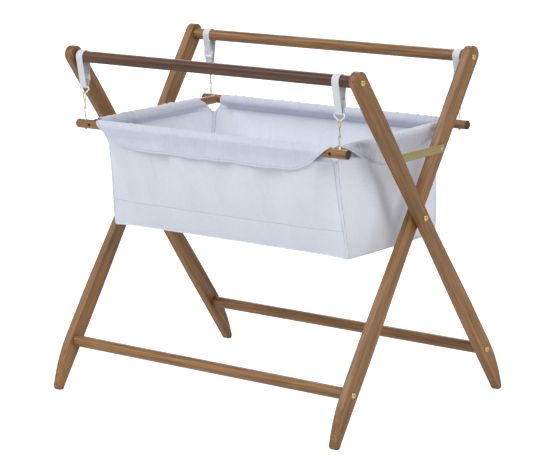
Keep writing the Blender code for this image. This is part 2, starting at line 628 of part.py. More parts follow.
def build_bedding(axis):
    """The stiff base board on the bag's floor, and the mattress on the board."""
    board_z = BAG_BOTTOM_Z + BAG_THICK + CLEAR
    mattress_z = board_z + BOARD_THICK + CLEAR
    half_length = BAG_BOTTOM_HALF_LENGTH - BAG_THICK - MATTRESS_PLAY
    half_width = BAG_BOTTOM_HALF_WIDTH - BAG_THICK - MATTRESS_PLAY
    for name, low, thick, finish in (("base_board", board_z, BOARD_THICK, HARDBOARD),
                                     ("mattress", mattress_z, MATTRESS_THICK, TICKING)):
        bm = bmesh.new()
        outline = rounded_rectangle(half_length, half_width, BAG_CORNER_RADIUS)
        add_prism(bm, outline, lambda x, y, depth: (x, y, low + depth), thick)
        piece = add_object(name, bm, finish, axis)
        if name == "mattress":
            soften(piece, MATTRESS_EDGE_ROUND)


# ---- the hangers ---------------------------------------------------------------------------------
def belt(circles):
    """Outline of a belt round circles, listed anticlockwise as (centre, radius, steps)."""
    normals = []
    for (near, near_radius, _), (far, far_radius, _) in zip(circles, circles[1:] + circles[:1]):
        reach = (far[0] - near[0], far[1] - near[1])
        swing = math.acos((near_radius - far_radius) / math.hypot(*reach))
        normals.append(math.atan2(reach[1], reach[0]) - swing)
    points = []
    for i, (centre, radius, steps) in enumerate(circles):
        first, last = normals[i - 1], normals[i]
        while last < first:
            last += 2 * math.pi
        points += arc(centre, radius, first, last, steps)
    return points


def build_strap(name, x, axis, turn):
    """A webbing loop that runs over the top rail and under the straight bar of the ring."""
    rail = (-TOP_RAIL_Y, TOP_RAIL_Z)
    bar = (-TOP_RAIL_Y, RING_BAR_Z)
    inner, outer = (belt([(rail, RAIL_RADIUS + CLEAR + thick, 14),
                          (bar, RING_WIRE_RADIUS + CLEAR + thick, 8)]) for thick in (0, STRAP_THICK))
    bm = bmesh.new()
    rows = []
    for outline, at_x in ((outer, x - STRAP_WIDTH / 2), (outer, x + STRAP_WIDTH / 2),
                          (inner, x + STRAP_WIDTH / 2), (inner, x - STRAP_WIDTH / 2)):
        rows.append([bm.verts.new((at_x, y, z)) for y, z in outline])
    count = len(inner)
    for k in range(4):
        lower, upper = rows[k], rows[(k + 1) % 4]
        for i in range(count):
            j = (i + 1) % count
            bm.faces.new((lower[i], lower[j], upper[j], upper[i]))
    add_object(name, bm, WEBBING, axis, turn)


def build_slider(name, x, axis, turn):
    """A plastic adjuster round the strap's run on the basket side, tilted with the run."""
    gap = RAIL_RADIUS - RING_WIRE_RADIUS
    tilt = math.asin(gap / (TOP_RAIL_Z - RING_BAR_Z))
    middle_radius = RAIL_RADIUS + CLEAR + STRAP_THICK / 2
    start = Vector((x, -TOP_RAIL_Y + middle_radius * math.cos(tilt),
                    TOP_RAIL_Z - middle_radius * math.sin(tilt)))
    centre = start + Vector((0, -math.sin(tilt), -math.cos(tilt))) * SLIDER_DROP
    turned = Matrix.Translation(centre) @ Matrix.Rotation(-tilt, 4, "X")
    bm = bmesh.new()
    outline = rounded_rectangle(SLIDER_WIDTH / 2, SLIDER_HEIGHT / 2, SLIDER_CORNER, 3)
    add_prism(bm, outline, lambda a, b, depth: turned @ Vector((a, depth - SLIDER_THICK / 2, b)),
              SLIDER_THICK)
    slider = add_object(name, bm, PLASTIC, axis, turn)
    cutter = bmesh.new()
    slot = [(sa * (STRAP_WIDTH / 2 + CLEAR), sb * (STRAP_THICK / 2 + CLEAR))
            for sa, sb in ((1, 1), (-1, 1), (-1, -1), (1, -1))]
    add_prism(cutter, slot, lambda a, b, depth: turned @ Vector((a, b, depth - SLIDER_HEIGHT)),
              2 * SLIDER_HEIGHT)
    cut(slider, cutter)


def build_ring(name, x, axis, turn):
    """A plastic ring with a straight bar above and a round bottom."""
    half = RING_WIDTH / 2 - RING_WIRE_RADIUS - RING_CORNER
    path = belt([((half, RING_BAR_Z - RING_CORNER), RING_CORNER, 4),
                 ((-half, RING_BAR_Z - RING_CORNER), RING_CORNER, 4),
                 ((0.0, RING_BOTTOM_Z + RING_BOTTOM_RADIUS), RING_BOTTOM_RADIUS, 7)])
    bm = bmesh.new()
    add_tube(bm, [Vector((x + a, -TOP_RAIL_Y, b)) for a, b in path], RING_WIRE_RADIUS)
    add_object(name, bm, PLASTIC, axis, turn)


def build_snap(name, x, axis, turn):
    """A flat brass snap hook in the plane across the rail: an open hook, a stem and an eye."""
    stem = SNAP_STEM_WIDTH / 2
    hook_dip = math.asin(stem / HOOK_OUTER)
    eye_dip = math.asin(stem / SNAP_EYE_RADIUS)
    low = (0.0, HOOK_LOW_Z)
    outline = arc((0.0, RING_BOTTOM_Z), HOOK_OUTER, 0.0, math.pi, 10)
    outline += arc(low, HOOK_OUTER, math.pi, 1.5 * math.pi - hook_dip, 4)
    outline += arc((0.0, SNAP_EYE_Z), SNAP_EYE_RADIUS, math.pi / 2 + eye_dip,
                   2.5 * math.pi - eye_dip, 14)
    outline += arc(low, HOOK_OUTER, 1.5 * math.pi + hook_dip, 2 * math.pi, 4)
    near = x - SNAP_THICK / 2
    bm = bmesh.new()
    add_prism(bm, outline, lambda a, b, depth: (near + depth, a - TOP_RAIL_Y, b), SNAP_THICK)
    snap = add_object(name, bm, BRASS, axis, turn)

    inside = belt([((0.0, RING_BOTTOM_Z), HOOK_INNER, 8), (low, HOOK_INNER, 8)])
    eye = arc((0.0, SNAP_EYE_Z), SNAP_EYE_HOLE, 0.0, 2 * math.pi * 13 / 14, 13)
    openings = bmesh.new()
    for shape in (inside, eye):
        add_prism(openings, shape,
                  lambda a, b, depth: (near - SNAP_THICK + depth, a - TOP_RAIL_Y, b), 3 * SNAP_THICK)
    cut(snap, openings)
    mouth_low = GATE_PIVOT_Z - GATE_RADIUS - CLEAR
    mouth_high = GATE_PIVOT_Z + GATE_LENGTH + GATE_RADIUS + CLEAR
    mouth = [(HOOK_INNER / 2, mouth_low), (2 * HOOK_OUTER, mouth_low),
             (2 * HOOK_OUTER, mouth_high), (HOOK_INNER / 2, mouth_high)]
    window = bmesh.new()
    add_prism(window, mouth,
              lambda a, b, depth: (near - SNAP_THICK + depth, a - TOP_RAIL_Y, b), 3 * SNAP_THICK)
    cut(snap, window)


def build_gate(name, x, axis, turn):
    """The sprung gate that closes the hook's mouth; its lower end is on its pin's axis."""
    outline = belt([((GATE_OFFSET, GATE_PIVOT_Z + GATE_LENGTH), GATE_RADIUS, 5),
                    ((GATE_OFFSET, GATE_PIVOT_Z), GATE_RADIUS, 5)])
    bm = bmesh.new()
    add_prism(bm, outline, lambda a, b, depth: (x - GATE_THICK / 2 + depth, a - TOP_RAIL_Y, b),
              GATE_THICK)
    add_object(name, bm, BRASS, axis, turn)


def build_hanger(place, side, hanger_axis, basket_axis, turn):
    """One hanger: strap, slider, ring and snap hook, and the basket's wire loop that it holds."""
    x = side * HANGER_X
    build_strap(place + "_strap", x, hanger_axis, turn)
    build_slider(place + "_slider", x, hanger_axis, turn)
    build_ring(place + "_ring", x, hanger_axis, turn)
    build_snap(place + "_snap_hook", x, hanger_axis, turn)
    gate_axis = add_axis(place + "_gate_axis", (x, GATE_OFFSET - TOP_RAIL_Y, GATE_PIVOT_Z), turn)
    build_gate(place + "_snap_gate", x, gate_axis, turn)
    build_wire_loop(place + "_wire_loop", x, basket_axis, turn)


# ---- the whole bassinet --------------------------------------------------------------------------
def build_all():
    clear_scene()
    frame_a = add_axis("frame_a_axis", (0.0, 0.0, PIVOT_Z))
    frame_b = add_axis("frame_b_axis", (0.0, 0.0, PIVOT_Z))
    for tag, axis, other, turn in (("frame_a", frame_a, frame_b, 0.0),
                                   ("frame_b", frame_b, frame_a, HALF_TURN)):
        build_frame(tag, axis, turn)
        side = "right" if turn == 0.0 else "left"
        build_pivot(side + "_pivot_bolt", axis, turn)
        bar_axis = add_axis(side + "_lock_bar_axis", (RIGHT_LEG_X, *lock_bar_pins()[1]), turn)
        build_lock_bar(side, bar_axis, other, axis, turn)

    basket = add_axis("basket_axis", (0.0, -TOP_RAIL_Y, LOOP_TOP_Z))
    for row, turn in (("front", 0.0), ("rear", HALF_TURN)):
        hanger_axis = add_axis(row + "_hanger_axis", (0.0, -TOP_RAIL_Y, TOP_RAIL_Z), turn)
        build_dowel(row + "_dowel", basket, turn)
        way = 1 if turn == 0.0 else -1
        for hand, side in (("right", 1), ("left", -1)):
            build_hanger(f"{row}_{hand}", side * way, hanger_axis, basket, turn)
            build_end_screw(f"{row}_{hand}_end_screw", side * way, basket, turn)
    build_end_rail("right_end_rail", basket, 0.0)
    build_end_rail("left_end_rail", basket, HALF_TURN)
    build_bag("fabric_bag", basket)
    build_bedding(basket)


build_all()
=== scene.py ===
"""Looks of a hanging bassinet on a folding wooden stand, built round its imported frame.

Metres; +X runs along the rails, -Y is the front and +Z is up. Each new piece is a surface worked out
with numpy, with its place in its mesh, and it rides on the body that carries it.
"""
import json
import math

import bmesh
import bpy
import numpy as np
from mathutils import Matrix, Vector


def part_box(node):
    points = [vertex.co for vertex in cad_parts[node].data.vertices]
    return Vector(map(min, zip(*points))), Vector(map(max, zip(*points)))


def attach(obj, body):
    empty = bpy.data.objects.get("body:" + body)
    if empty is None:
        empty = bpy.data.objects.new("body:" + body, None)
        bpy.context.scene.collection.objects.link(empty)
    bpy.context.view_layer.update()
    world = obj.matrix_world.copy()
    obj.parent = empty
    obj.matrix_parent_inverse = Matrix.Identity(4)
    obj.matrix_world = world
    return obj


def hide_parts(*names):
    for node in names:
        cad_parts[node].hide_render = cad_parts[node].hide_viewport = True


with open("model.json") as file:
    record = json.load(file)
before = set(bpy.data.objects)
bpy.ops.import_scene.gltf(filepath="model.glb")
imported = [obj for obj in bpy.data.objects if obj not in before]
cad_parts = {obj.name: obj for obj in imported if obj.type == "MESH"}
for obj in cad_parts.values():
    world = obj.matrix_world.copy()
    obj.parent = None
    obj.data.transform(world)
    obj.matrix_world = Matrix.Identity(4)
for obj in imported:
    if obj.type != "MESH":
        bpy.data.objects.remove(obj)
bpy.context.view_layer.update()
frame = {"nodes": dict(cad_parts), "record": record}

# ---- the view ------------------------------------------------------------------------------------
# A long lens stands in front of the right end, a little above the basket, and looks slightly down.
VIEW_PLACE = (3.4481, -4.2584, 1.5748)
VIEW_YAW, VIEW_PITCH, VIEW_ROLL = (math.radians(angle) for angle in (38.947, 12.205, -1.1745))
VIEW_LENS = 151.12

ahead = Vector((-math.sin(VIEW_YAW) * math.cos(VIEW_PITCH),
                math.cos(VIEW_YAW) * math.cos(VIEW_PITCH), -math.sin(VIEW_PITCH)))
level = ahead.cross(Vector((0, 0, 1))).normalized()
upright = level.cross(ahead)
view_right = level * math.cos(VIEW_ROLL) + upright * math.sin(VIEW_ROLL)
view_up = upright * math.cos(VIEW_ROLL) - level * math.sin(VIEW_ROLL)
camera = bpy.data.objects.new("view", bpy.data.cameras.new("view"))
camera.data.lens = VIEW_LENS
turned_view = Matrix((view_right, view_up, -ahead)).transposed().to_4x4()
camera.matrix_world = Matrix.Translation(VIEW_PLACE) @ turned_view
bpy.context.scene.collection.objects.link(camera)
bpy.context.scene.camera = camera

# ---- studio --------------------------------------------------------------------------------------
# A white room with a pale floor, shown a little brighter than it is. Even light comes from all
# round, and broad soft lamps give the shape: a cool one above the front, a warm one above the right
# end and a weaker one behind.
ROOM_LIGHT = 0.31
LAMP_WIDTH = math.radians(34.0)
LAMPS = (("front_lamp", 1.72, (0.95, 0.975, 1.0), (0.35, 0.65, -0.67)),
         ("end_lamp", 1.40, (1.0, 0.965, 0.91), (-0.75, 0.20, -0.62)),
         ("back_lamp", 1.05, (1.0, 1.0, 1.0), (0.45, -0.75, -0.50)))
FLOOR_GLOW = 0.50
FLOOR_REACH = 14.0
FLOOR_SIDES = 64

scene = bpy.context.scene
scene.view_settings.view_transform = "Standard"
scene.world = bpy.data.worlds.new("white_room")
scene.world.use_nodes = True
room = scene.world.node_tree
backdrop = room.nodes["Background"]
backdrop.inputs["Color"].default_value = (1.0, 1.0, 1.0, 1.0)
seen = room.nodes.new("ShaderNodeLightPath")
brightness = room.nodes.new("ShaderNodeMapRange")
brightness.inputs["To Min"].default_value = ROOM_LIGHT
brightness.inputs["To Max"].default_value = 1.0
room.links.new(seen.outputs["Is Camera Ray"], brightness.inputs["Value"])
room.links.new(brightness.outputs["Result"], backdrop.inputs["Strength"])

for lamp_name, strength, tint, direction in LAMPS:
    lamp = bpy.data.objects.new(lamp_name, bpy.data.lights.new(lamp_name, "SUN"))
    lamp.data.energy = strength
    lamp.data.color = tint
    lamp.data.angle = LAMP_WIDTH
    lamp.rotation_mode = "QUATERNION"
    lamp.rotation_quaternion = Vector(direction).to_track_quat("-Z", "Y")
    scene.collection.objects.link(lamp)

floor_turns = np.linspace(0, 2 * math.pi, FLOOR_SIDES, endpoint=False)
floor_rim = np.stack([np.cos(floor_turns), np.sin(floor_turns), np.zeros(FLOOR_SIDES)], 1) * FLOOR_REACH
floor_mesh = bpy.data.meshes.new("floor")
floor_mesh.from_pydata(floor_rim.tolist(), [], [list(range(FLOOR_SIDES))])
floor = bpy.data.objects.new("floor", floor_mesh)
floor_paint = bpy.data.materials.new("floor_paint")
floor_paint.use_nodes = True
floor_shader = floor_paint.node_tree.nodes["Principled BSDF"]
for socket, value in (("Base Color", (0.85, 0.85, 0.85, 1.0)), ("Roughness", 0.9),
                      ("Specular IOR Level", 0.0), ("Emission Color", (1.0, 1.0, 1.0, 1.0))):
    floor_shader.inputs[socket].default_value = value
floor_path = floor_paint.node_tree.nodes.new("ShaderNodeLightPath")
floor_glow = floor_paint.node_tree.nodes.new("ShaderNodeMath")
floor_glow.operation = "MULTIPLY"
floor_glow.inputs[1].default_value = FLOOR_GLOW
floor_paint.node_tree.links.new(floor_path.outputs["Is Camera Ray"], floor_glow.inputs[0])
floor_paint.node_tree.links.new(floor_glow.outputs[0], floor_shader.inputs["Emission Strength"])
floor_mesh.materials.append(floor_paint)
scene.collection.objects.link(floor)


# ---- legs ----------------------------------------------------------------------------------------
# Four flat legs of walnut-stained beech. Each is sawn with hollow long edges, a round top and a foot
# that tapers to a small tip, rounded over along every edge, stained and lacquered.
LEG_WIDTH = 0.042
LEG_TOP_REACH = 0.005
LEG_EDGE_ROUND = 0.003
WAIST_REACH = 0.34
WAIST_UPPER = 0.0055
WAIST_LOWER = 0.0035
FOOT_TIP_RADIUS = 0.009
FOOT_FLAT = 0.008
FOOT_TAPER = math.radians(21.0)
EDGE_STATIONS = 90
FLAT_MARGIN = 0.0007          # a narrow flat strip beside each rounded edge keeps the face flat
LEG_END_STAIN = 0.3           # how much of the end grain's dark stain the legs' ends take

pivot_z = frame["record"]["behaviour"]["joints"][0]["pos_m"][2]
top_low, top_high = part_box("frame_a_top_rail")
rail_y = -(top_low.y + top_high.y) / 2
rail_z = (top_low.z + top_high.z) / 2
rail_radius = (top_high.z - top_low.z) / 2
lean = math.atan2(rail_y, rail_z - pivot_z)


def lattice(name, points, close_rows=False, close_columns=False, marks=None):
    """A mesh over a grid of points: quads join each row and column to the next, a closed way joins
    its last line to its first, and points that fall together, as at a pole, are merged."""
    rows, columns = points.shape[:2]
    row = np.arange(rows if close_rows else rows - 1)[:, None]
    column = np.arange(columns if close_columns else columns - 1)[None, :]
    next_row, next_column = (row + 1) % rows, (column + 1) % columns
    quads = np.stack([row * columns + column, next_row * columns + column,
                      next_row * columns + next_column, row * columns + next_column], -1)
    mesh = bpy.data.meshes.new(name)
    mesh.from_pydata(points.reshape(-1, 3).tolist(), [], quads.reshape(-1, 4).tolist())
    for mark, values in (marks or {}).items():
        stored = mesh.attributes.new(mark, "FLOAT_VECTOR", "POINT")
        stored.data.foreach_set("vector", values.astype(np.float32).reshape(-1))
    shape = bmesh.new()
    shape.from_mesh(mesh)
    bmesh.ops.remove_doubles(shape, verts=shape.verts, dist=1e-6)
    bmesh.ops.recalc_face_normals(shape, faces=shape.faces)
    shape.to_mesh(mesh)
    shape.free()
    mesh.shade_smooth()
    made = bpy.data.objects.new(name, mesh)
    scene.collection.objects.link(made)
    return made


def fit_piece(piece, body, material, slot, *replaced):
    """Give a piece its finish, hang it on its body and let it stand for its CAD nodes."""
    piece.data.materials.clear()
    piece.data.materials.append(material)
    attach(piece, body)
    if replaced:
        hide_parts(*replaced)


def arc(centre, radius, first, last, count):
    """Points on an arc from one angle to another, both ends included."""
    angle = np.linspace(first, last, count)
    return np.stack([centre[0] + radius * np.cos(angle), centre[1] + radius * np.sin(angle)], -1)


def add_node(material, kind, sockets=None, **settings):
    """Add a shader node; each socket is given a value or the output that feeds it."""
    tree = material.node_tree
    node = tree.nodes.new(kind)
    for setting, value in settings.items():
        setattr(node, setting, value)
    for socket, value in (sockets or {}).items():
        if isinstance(value, bpy.types.NodeSocket):
            tree.links.new(value, node.inputs[socket])
        else:
            node.inputs[socket].default_value = value
    return node


def new_finish(name, **sockets):
    """A Principled material; its sockets are named with underscores for spaces."""
    material = bpy.data.materials.new(name)
    material.use_nodes = True
    shader = material.node_tree.nodes["Principled BSDF"]
    for socket, value in sockets.items():
        shader.inputs[socket.replace("_", " ")].default_value = value
    return material


def feed(material, socket, output):
    """Lead a node's output into one of the material's own sockets."""
    material.node_tree.links.new(output, material.node_tree.nodes["Principled BSDF"].inputs[socket])


def blend_colour(material, share, first, second, way="MIX"):
    """Mix two colours by a share; the result is the node's colour output."""
    mixer = add_node(material, "ShaderNodeMix", {0: share, 6: first, 7: second},
                     data_type="RGBA", blend_type=way)
    return mixer.outputs[2]


def streaks(material, vector, scale, detail, roughness=0.55):
    """Noise drawn out along the first axis of a vector given in metres."""
    mapped = add_node(material, "ShaderNodeMapping", {"Vector": vector, "Scale": scale})
    noise = add_node(material, "ShaderNodeTexNoise",
                     {"Vector": mapped.outputs[0], "Scale": 1.0, "Detail": detail,
                      "Roughness": roughness})
    return noise.outputs["Fac"]


def spread(material, value, low, high, new_low=0.0, new_high=1.0):
    """Stretch a value's range from low..high to new_low..new_high, and clamp it there."""
    ranged = add_node(material, "ShaderNodeMapRange",
                      {"Value": value, "From Min": low, "From Max": high,
                       "To Min": new_low, "To Max": new_high})
    return ranged.outputs["Result"]


def emboss(material, height, strength, distance, under=None):
    """Bump from a height, laid over the bump that is under it if there is one."""
    sockets = {"Height": height, "Strength": strength, "Distance": distance}
    if under is not None:
        sockets["Normal"] = under
    bump = add_node(material, "ShaderNodeBump", sockets).outputs[0]
    feed(material, "Normal", bump)
    return bump


def mottle(material, scale, first, second, mixed=(0.3, 0.7), gloss=None, detail=3.0, roughness=0.55):
    """Noise in the piece's own space mixes two tones over the range mixed. Where gloss is given, the
    noise also leads the roughness from its first value to its second."""
    place = add_node(material, "ShaderNodeTexCoord").outputs["Object"]
    noise = streaks(material, place, scale, detail, roughness)
    feed(material, "Base Color", blend_colour(material, spread(material, noise, *mixed), first, second))
    if gloss:
        feed(material, "Roughness", spread(material, noise, 0.3, 0.7, *gloss))
    return noise


def make_wood(name, pale, dark, end_dark):
    """Lacquered wood whose grain runs along the first part of the piece's grain attribute."""
    wood = new_finish(name, Coat_Weight=0.12, Coat_Roughness=0.28, Specular_IOR_Level=0.36)
    grain = add_node(wood, "ShaderNodeAttribute", attribute_name="grain").outputs["Vector"]
    end = add_node(wood, "ShaderNodeAttribute", attribute_name="end").outputs["Fac"]
    fine = streaks(wood, grain, (8.0, 420.0, 420.0), 6.0, 0.62)
    broad = streaks(wood, grain, (1.7, 55.0, 55.0), 3.0)
    pores = streaks(wood, grain, (110.0, 2300.0, 2300.0), 1.0)
    cloud = streaks(wood, grain, (9.0, 14.0, 14.0), 2.0)
    colour = blend_colour(wood, spread(wood, fine, 0.36, 0.64), dark, pale)
    for shade in (spread(wood, broad, 0.34, 0.66, 0.74, 1.18), spread(wood, cloud, 0.3, 0.7, 0.90, 1.08)):
        colour = blend_colour(wood, 1.0, colour, shade, "MULTIPLY")
    pore_dark = (*(0.35 * part for part in dark[:3]), 1.0)
    colour = blend_colour(wood, spread(wood, pores, 0.60, 0.72, 0.0, 0.45), colour, pore_dark)
    colour = blend_colour(wood, spread(wood, end, 0.1, 0.9, 0.0, 0.94), colour, end_dark)
    feed(wood, "Base Color", colour)
    feed(wood, "Roughness", spread(wood, fine, 0.25, 0.75, 0.52, 0.38))
    emboss(wood, spread(wood, fine, 0.3, 0.7), 0.14, 0.0002)
    return wood


leg_wood = make_wood("walnut_stained_leg", (0.345, 0.176, 0.064, 1.0), (0.165, 0.073, 0.022, 1.0),
                     (0.022, 0.012, 0.009, 1.0))


def leg_outline():
    """The wide face as (along, across) and the middle line that each edge point belongs to.

    The top is half a circle. A long edge lies half the width out, less (1 - (along / reach)^2)^2 of
    its waist. The foot eases into its taper on a parabola and ends in a small arc, cut flat where
    it stands. The middle line runs halfway between the edges, from the top's centre to the tip's.
    """
    half = LEG_WIDTH / 2
    top = (rail_z - pivot_z) / math.cos(lean) + LEG_TOP_REACH
    tip_across = FOOT_TIP_RADIUS - half
    tip_height = math.sqrt(FOOT_TIP_RADIUS ** 2 - (FOOT_FLAT / 2) ** 2)
    tip = (tip_height - pivot_z - tip_across * math.sin(lean)) / math.cos(lean)
    end = np.array([tip - FOOT_TIP_RADIUS * math.sin(FOOT_TAPER),
                    tip_across + FOOT_TIP_RADIUS * math.cos(FOOT_TAPER)])
    run = (half - end[1]) / math.tan(FOOT_TAPER)
    down, half_flat = math.pi + lean, math.asin(FOOT_FLAT / 2 / FOOT_TIP_RADIUS)

    def hollow(along, depth):
        return depth * (1 - np.minimum(np.abs(along) / WAIST_REACH, 1.0) ** 2) ** 2

    stations = np.linspace(top, end[0] + 2 * run, EDGE_STATIONS)[1:]
    upper = np.stack([stations, half - hollow(stations, WAIST_UPPER)], 1)
    t = np.linspace(0, 1, 16)[1:, None]
    taper = (1 - t) ** 2 * np.array([end[0] + 2 * run, half]) \
        + 2 * t * (1 - t) * np.array([end[0] + run, half]) + t ** 2 * end
    first_arc = arc((tip, tip_across), FOOT_TIP_RADIUS, math.pi / 2 + FOOT_TAPER, down - half_flat, 8)
    last_arc = arc((tip, tip_across), FOOT_TIP_RADIUS, down + half_flat, 1.5 * math.pi, 6)
    back = np.concatenate([np.linspace(tip, end[0] + 2 * run, 16)[1:-1], stations[::-1]])
    lower = np.stack([back, hollow(back, WAIST_LOWER) - half], 1)
    outline = np.concatenate([arc((top, 0.0), half, -math.pi / 2, math.pi / 2, 25), upper, taper,
                              first_arc[1:], last_arc, lower])
    edge = np.concatenate([upper, taper])
    along = np.clip(outline[:, 0], tip, top)
    over = np.interp(-along, -edge[:, 0], edge[:, 1])
    under = hollow(along, WAIST_LOWER) - half
    middle = np.stack([along, (over + under) / 2], 1)
    middle[np.isclose(along, top)] = (top, 0.0)
    middle[along <= end[0] + 1e-4] = (tip, tip_across)
    return outline, middle


def make_leg(node, body, turn, luck):
    """The outline's edge rolls over in quarter circles to both wide faces, which close on the
    middle line; turn is 1 for frame A and -1 for frame B, whose legs lean the other way."""
    outline, middle = leg_outline()
    tangent = np.roll(outline, -1, 0) - np.roll(outline, 1, 0)
    tangent /= np.linalg.norm(tangent, axis=1)[:, None]
    inward = np.stack([-tangent[:, 1], tangent[:, 0]], 1)
    low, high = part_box(node)
    thick = high.x - low.x
    roll = np.linspace(0, math.pi / 2, 6)
    inset = LEG_EDGE_ROUND * (1 - np.sin(roll))
    depth = LEG_EDGE_ROUND * (1 - np.cos(roll))
    inset = np.concatenate([[LEG_EDGE_ROUND + FLAT_MARGIN], inset, [0.0]])
    depth = np.concatenate([[0.0], depth, [LEG_EDGE_ROUND + FLAT_MARGIN]])
    inset = np.concatenate([inset, inset[::-1]])
    depth = np.concatenate([depth, thick - depth[::-1]])
    flat = outline[:, None] + inward[:, None] * inset[None, :, None]
    flat = np.concatenate([middle[:, None], flat, middle[:, None]], 1)
    depth = np.concatenate([[0.0], depth, [thick]])
    along, across = flat[..., 0], flat[..., 1]
    x = low.x + np.broadcast_to(depth, along.shape)
    y = turn * (across * math.cos(lean) - along * math.sin(lean))
    z = pivot_z + along * math.cos(lean) + across * math.sin(lean)
    grain = np.stack([along, across, x], -1) + luck
    edge_share = np.clip(np.minimum(depth, thick - depth) / LEG_EDGE_ROUND, 0.0, 1.0)
    end = np.abs(inward[:, :1]) ** 3 * edge_share * LEG_END_STAIN
    piece = lattice(node.replace("_leg", "_leg_wood"), np.stack([x, y, z], -1), close_rows=True,
                    marks={"grain": grain, "end": np.repeat(end[..., None], 3, -1)})
    fit_piece(piece, body, leg_wood, "wood", node)


chance = np.random.default_rng(17)
for frame_name, turn in (("frame_a", 1.0), ("frame_b", -1.0)):
    for place in ("outer", "inner"):
        make_leg(f"{frame_name}_{place}_leg", frame_name, turn, chance.uniform(0.0, 3.0, 3))

# ---- rails, dowels and end rails -----------------------------------------------------------------
# Round bars of the same beech. The four rails butt against the legs, the two dowels and the two
# shorter end rails are the basket's frame; the dowels are eased at their ends and show end grain.
ROD_SIDES = 64
ROD_STATIONS = 24
DOWEL_EDGE_ROUND = 0.0022
RAIL_EDGE_ROUND = 0.0004

# The front top rail takes a darker copy of the same wood: painted shade, so that this rail looks as dark
# as it stands in shade.
shaded_rail_wood = make_wood("rail_wood_painted_shade", (0.130, 0.056, 0.027, 1.0), (0.066, 0.026, 0.012, 1.0),
                      (0.030, 0.014, 0.010, 1.0))


def turned(name, start, way, profile, sides=ROD_SIDES, luck=None, stretch=1.0):
    """A profile of (distance along the axis, radius) turned round an axis from start.

    stretch multiplies the radius at each angle, as for a socket with flats. The grain runs along
    the axis, and the end mark is 1 where the profile runs straight in towards the axis.
    """
    way = np.array(way, float)
    first = np.array([0.0, 1.0, 0.0]) if abs(way[0]) > 0.5 else np.array([1.0, 0.0, 0.0])
    second = np.cross(way, first)
    profile = np.array(profile, float)
    angle = np.linspace(0, 2 * math.pi, sides, endpoint=False)
    radius = profile[:, 1:2] * (stretch if np.ndim(stretch) else np.ones((1, sides)))
    out_a, out_b = radius * np.cos(angle), radius * np.sin(angle)
    points = np.array(start, float) + profile[:, :1, None] * way \
        + out_a[..., None] * first + out_b[..., None] * second
    marks = None
    if luck is not None:
        run = np.broadcast_to(profile[:, :1], out_a.shape)
        full = profile[:, 1].max()
        ends = (profile[:, 0] < DOWEL_EDGE_ROUND / 2) | \
            (profile[:, 0] > profile[:, 0].max() - DOWEL_EDGE_ROUND / 2)
        end = np.broadcast_to((ends & (profile[:, 1] < full))[:, None] * 1.0, out_a.shape)
        marks = {"grain": np.stack([run, out_a, out_b], -1) + luck,
                 "end": np.repeat(end[..., None], 3, -1)}
    return lattice(name, points, close_columns=True, marks=marks)


def rod_profile(length, radius, edge):
    """A straight rod with quarter-round edges and flat ends."""
    roll = np.linspace(math.pi / 2, 0, 6)
    rounded = np.stack([edge * (1 - np.sin(roll)), radius - edge * (1 - np.cos(roll))], 1)
    start = np.concatenate([[[0.0, 0.0], [0.0, (radius - edge) * 0.97]], rounded])
    finish = start[::-1] * [-1.0, 1.0] + [length, 0.0]
    stations = np.linspace(edge * 1.5, length - edge * 1.5, ROD_STATIONS)
    return np.concatenate([start, np.stack([stations, np.full(ROD_STATIONS, radius)], 1), finish])


def make_rod(node, name, body, edge, material):
    """A rod in the place of a CAD rod, along whichever of X and Y is its longer side."""
    low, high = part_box(node)
    size, middle = high - low, (low + high) / 2
    axis = 0 if size.x > size.y else 1
    start = middle.copy()
    start[axis] = low[axis]
    way = [0.0, 0.0, 0.0]
    way[axis] = 1.0
    piece = turned(name, start, way, rod_profile(size[axis], size.z / 2, edge),
                   luck=chance.uniform(0.0, 3.0, 3))
    fit_piece(piece, body, material, "wood", node)


for frame_name in ("frame_a", "frame_b"):
    for place in ("top_rail", "bottom_rail"):
        # frame A's top rail, at the front, takes the darker copy of the wood: painted shade.
        in_painted_shade = (frame_name, place) == ("frame_a", "top_rail")
        make_rod(f"{frame_name}_{place}", f"{frame_name}_{place}_wood", frame_name, RAIL_EDGE_ROUND,
                 shaded_rail_wood if in_painted_shade else leg_wood)
for node in ("front_dowel", "rear_dowel", "right_end_rail", "left_end_rail"):
    make_rod(node, node + "_wood", "basket", DOWEL_EDGE_ROUND, leg_wood)

# ---- bolts ---------------------------------------------------------------------------------------
# Domed brass bolts with a six-sided socket. Eight hold the rails to the legs, and the two longer
# pivot bolts run through both crossing legs and are headed over on the inside.
BOLT_HEAD_RADIUS = 0.0075
BOLT_HEAD_HEIGHT = 0.0028
SOCKET_RADIUS = 0.0026
SOCKET_DEPTH = 0.0018
BOLT_SHANK = 0.003
PIVOT_SHANK = 0.004
BOLT_SIDES = 72

brass = new_finish("polished_brass", Metallic=1.0, Specular_IOR_Level=0.5)
mottle(brass, (420.0, 420.0, 420.0), (0.78, 0.60, 0.27, 1.0), (0.60, 0.44, 0.17, 1.0),
       mixed=(0.35, 0.7), gloss=(0.16, 0.34))


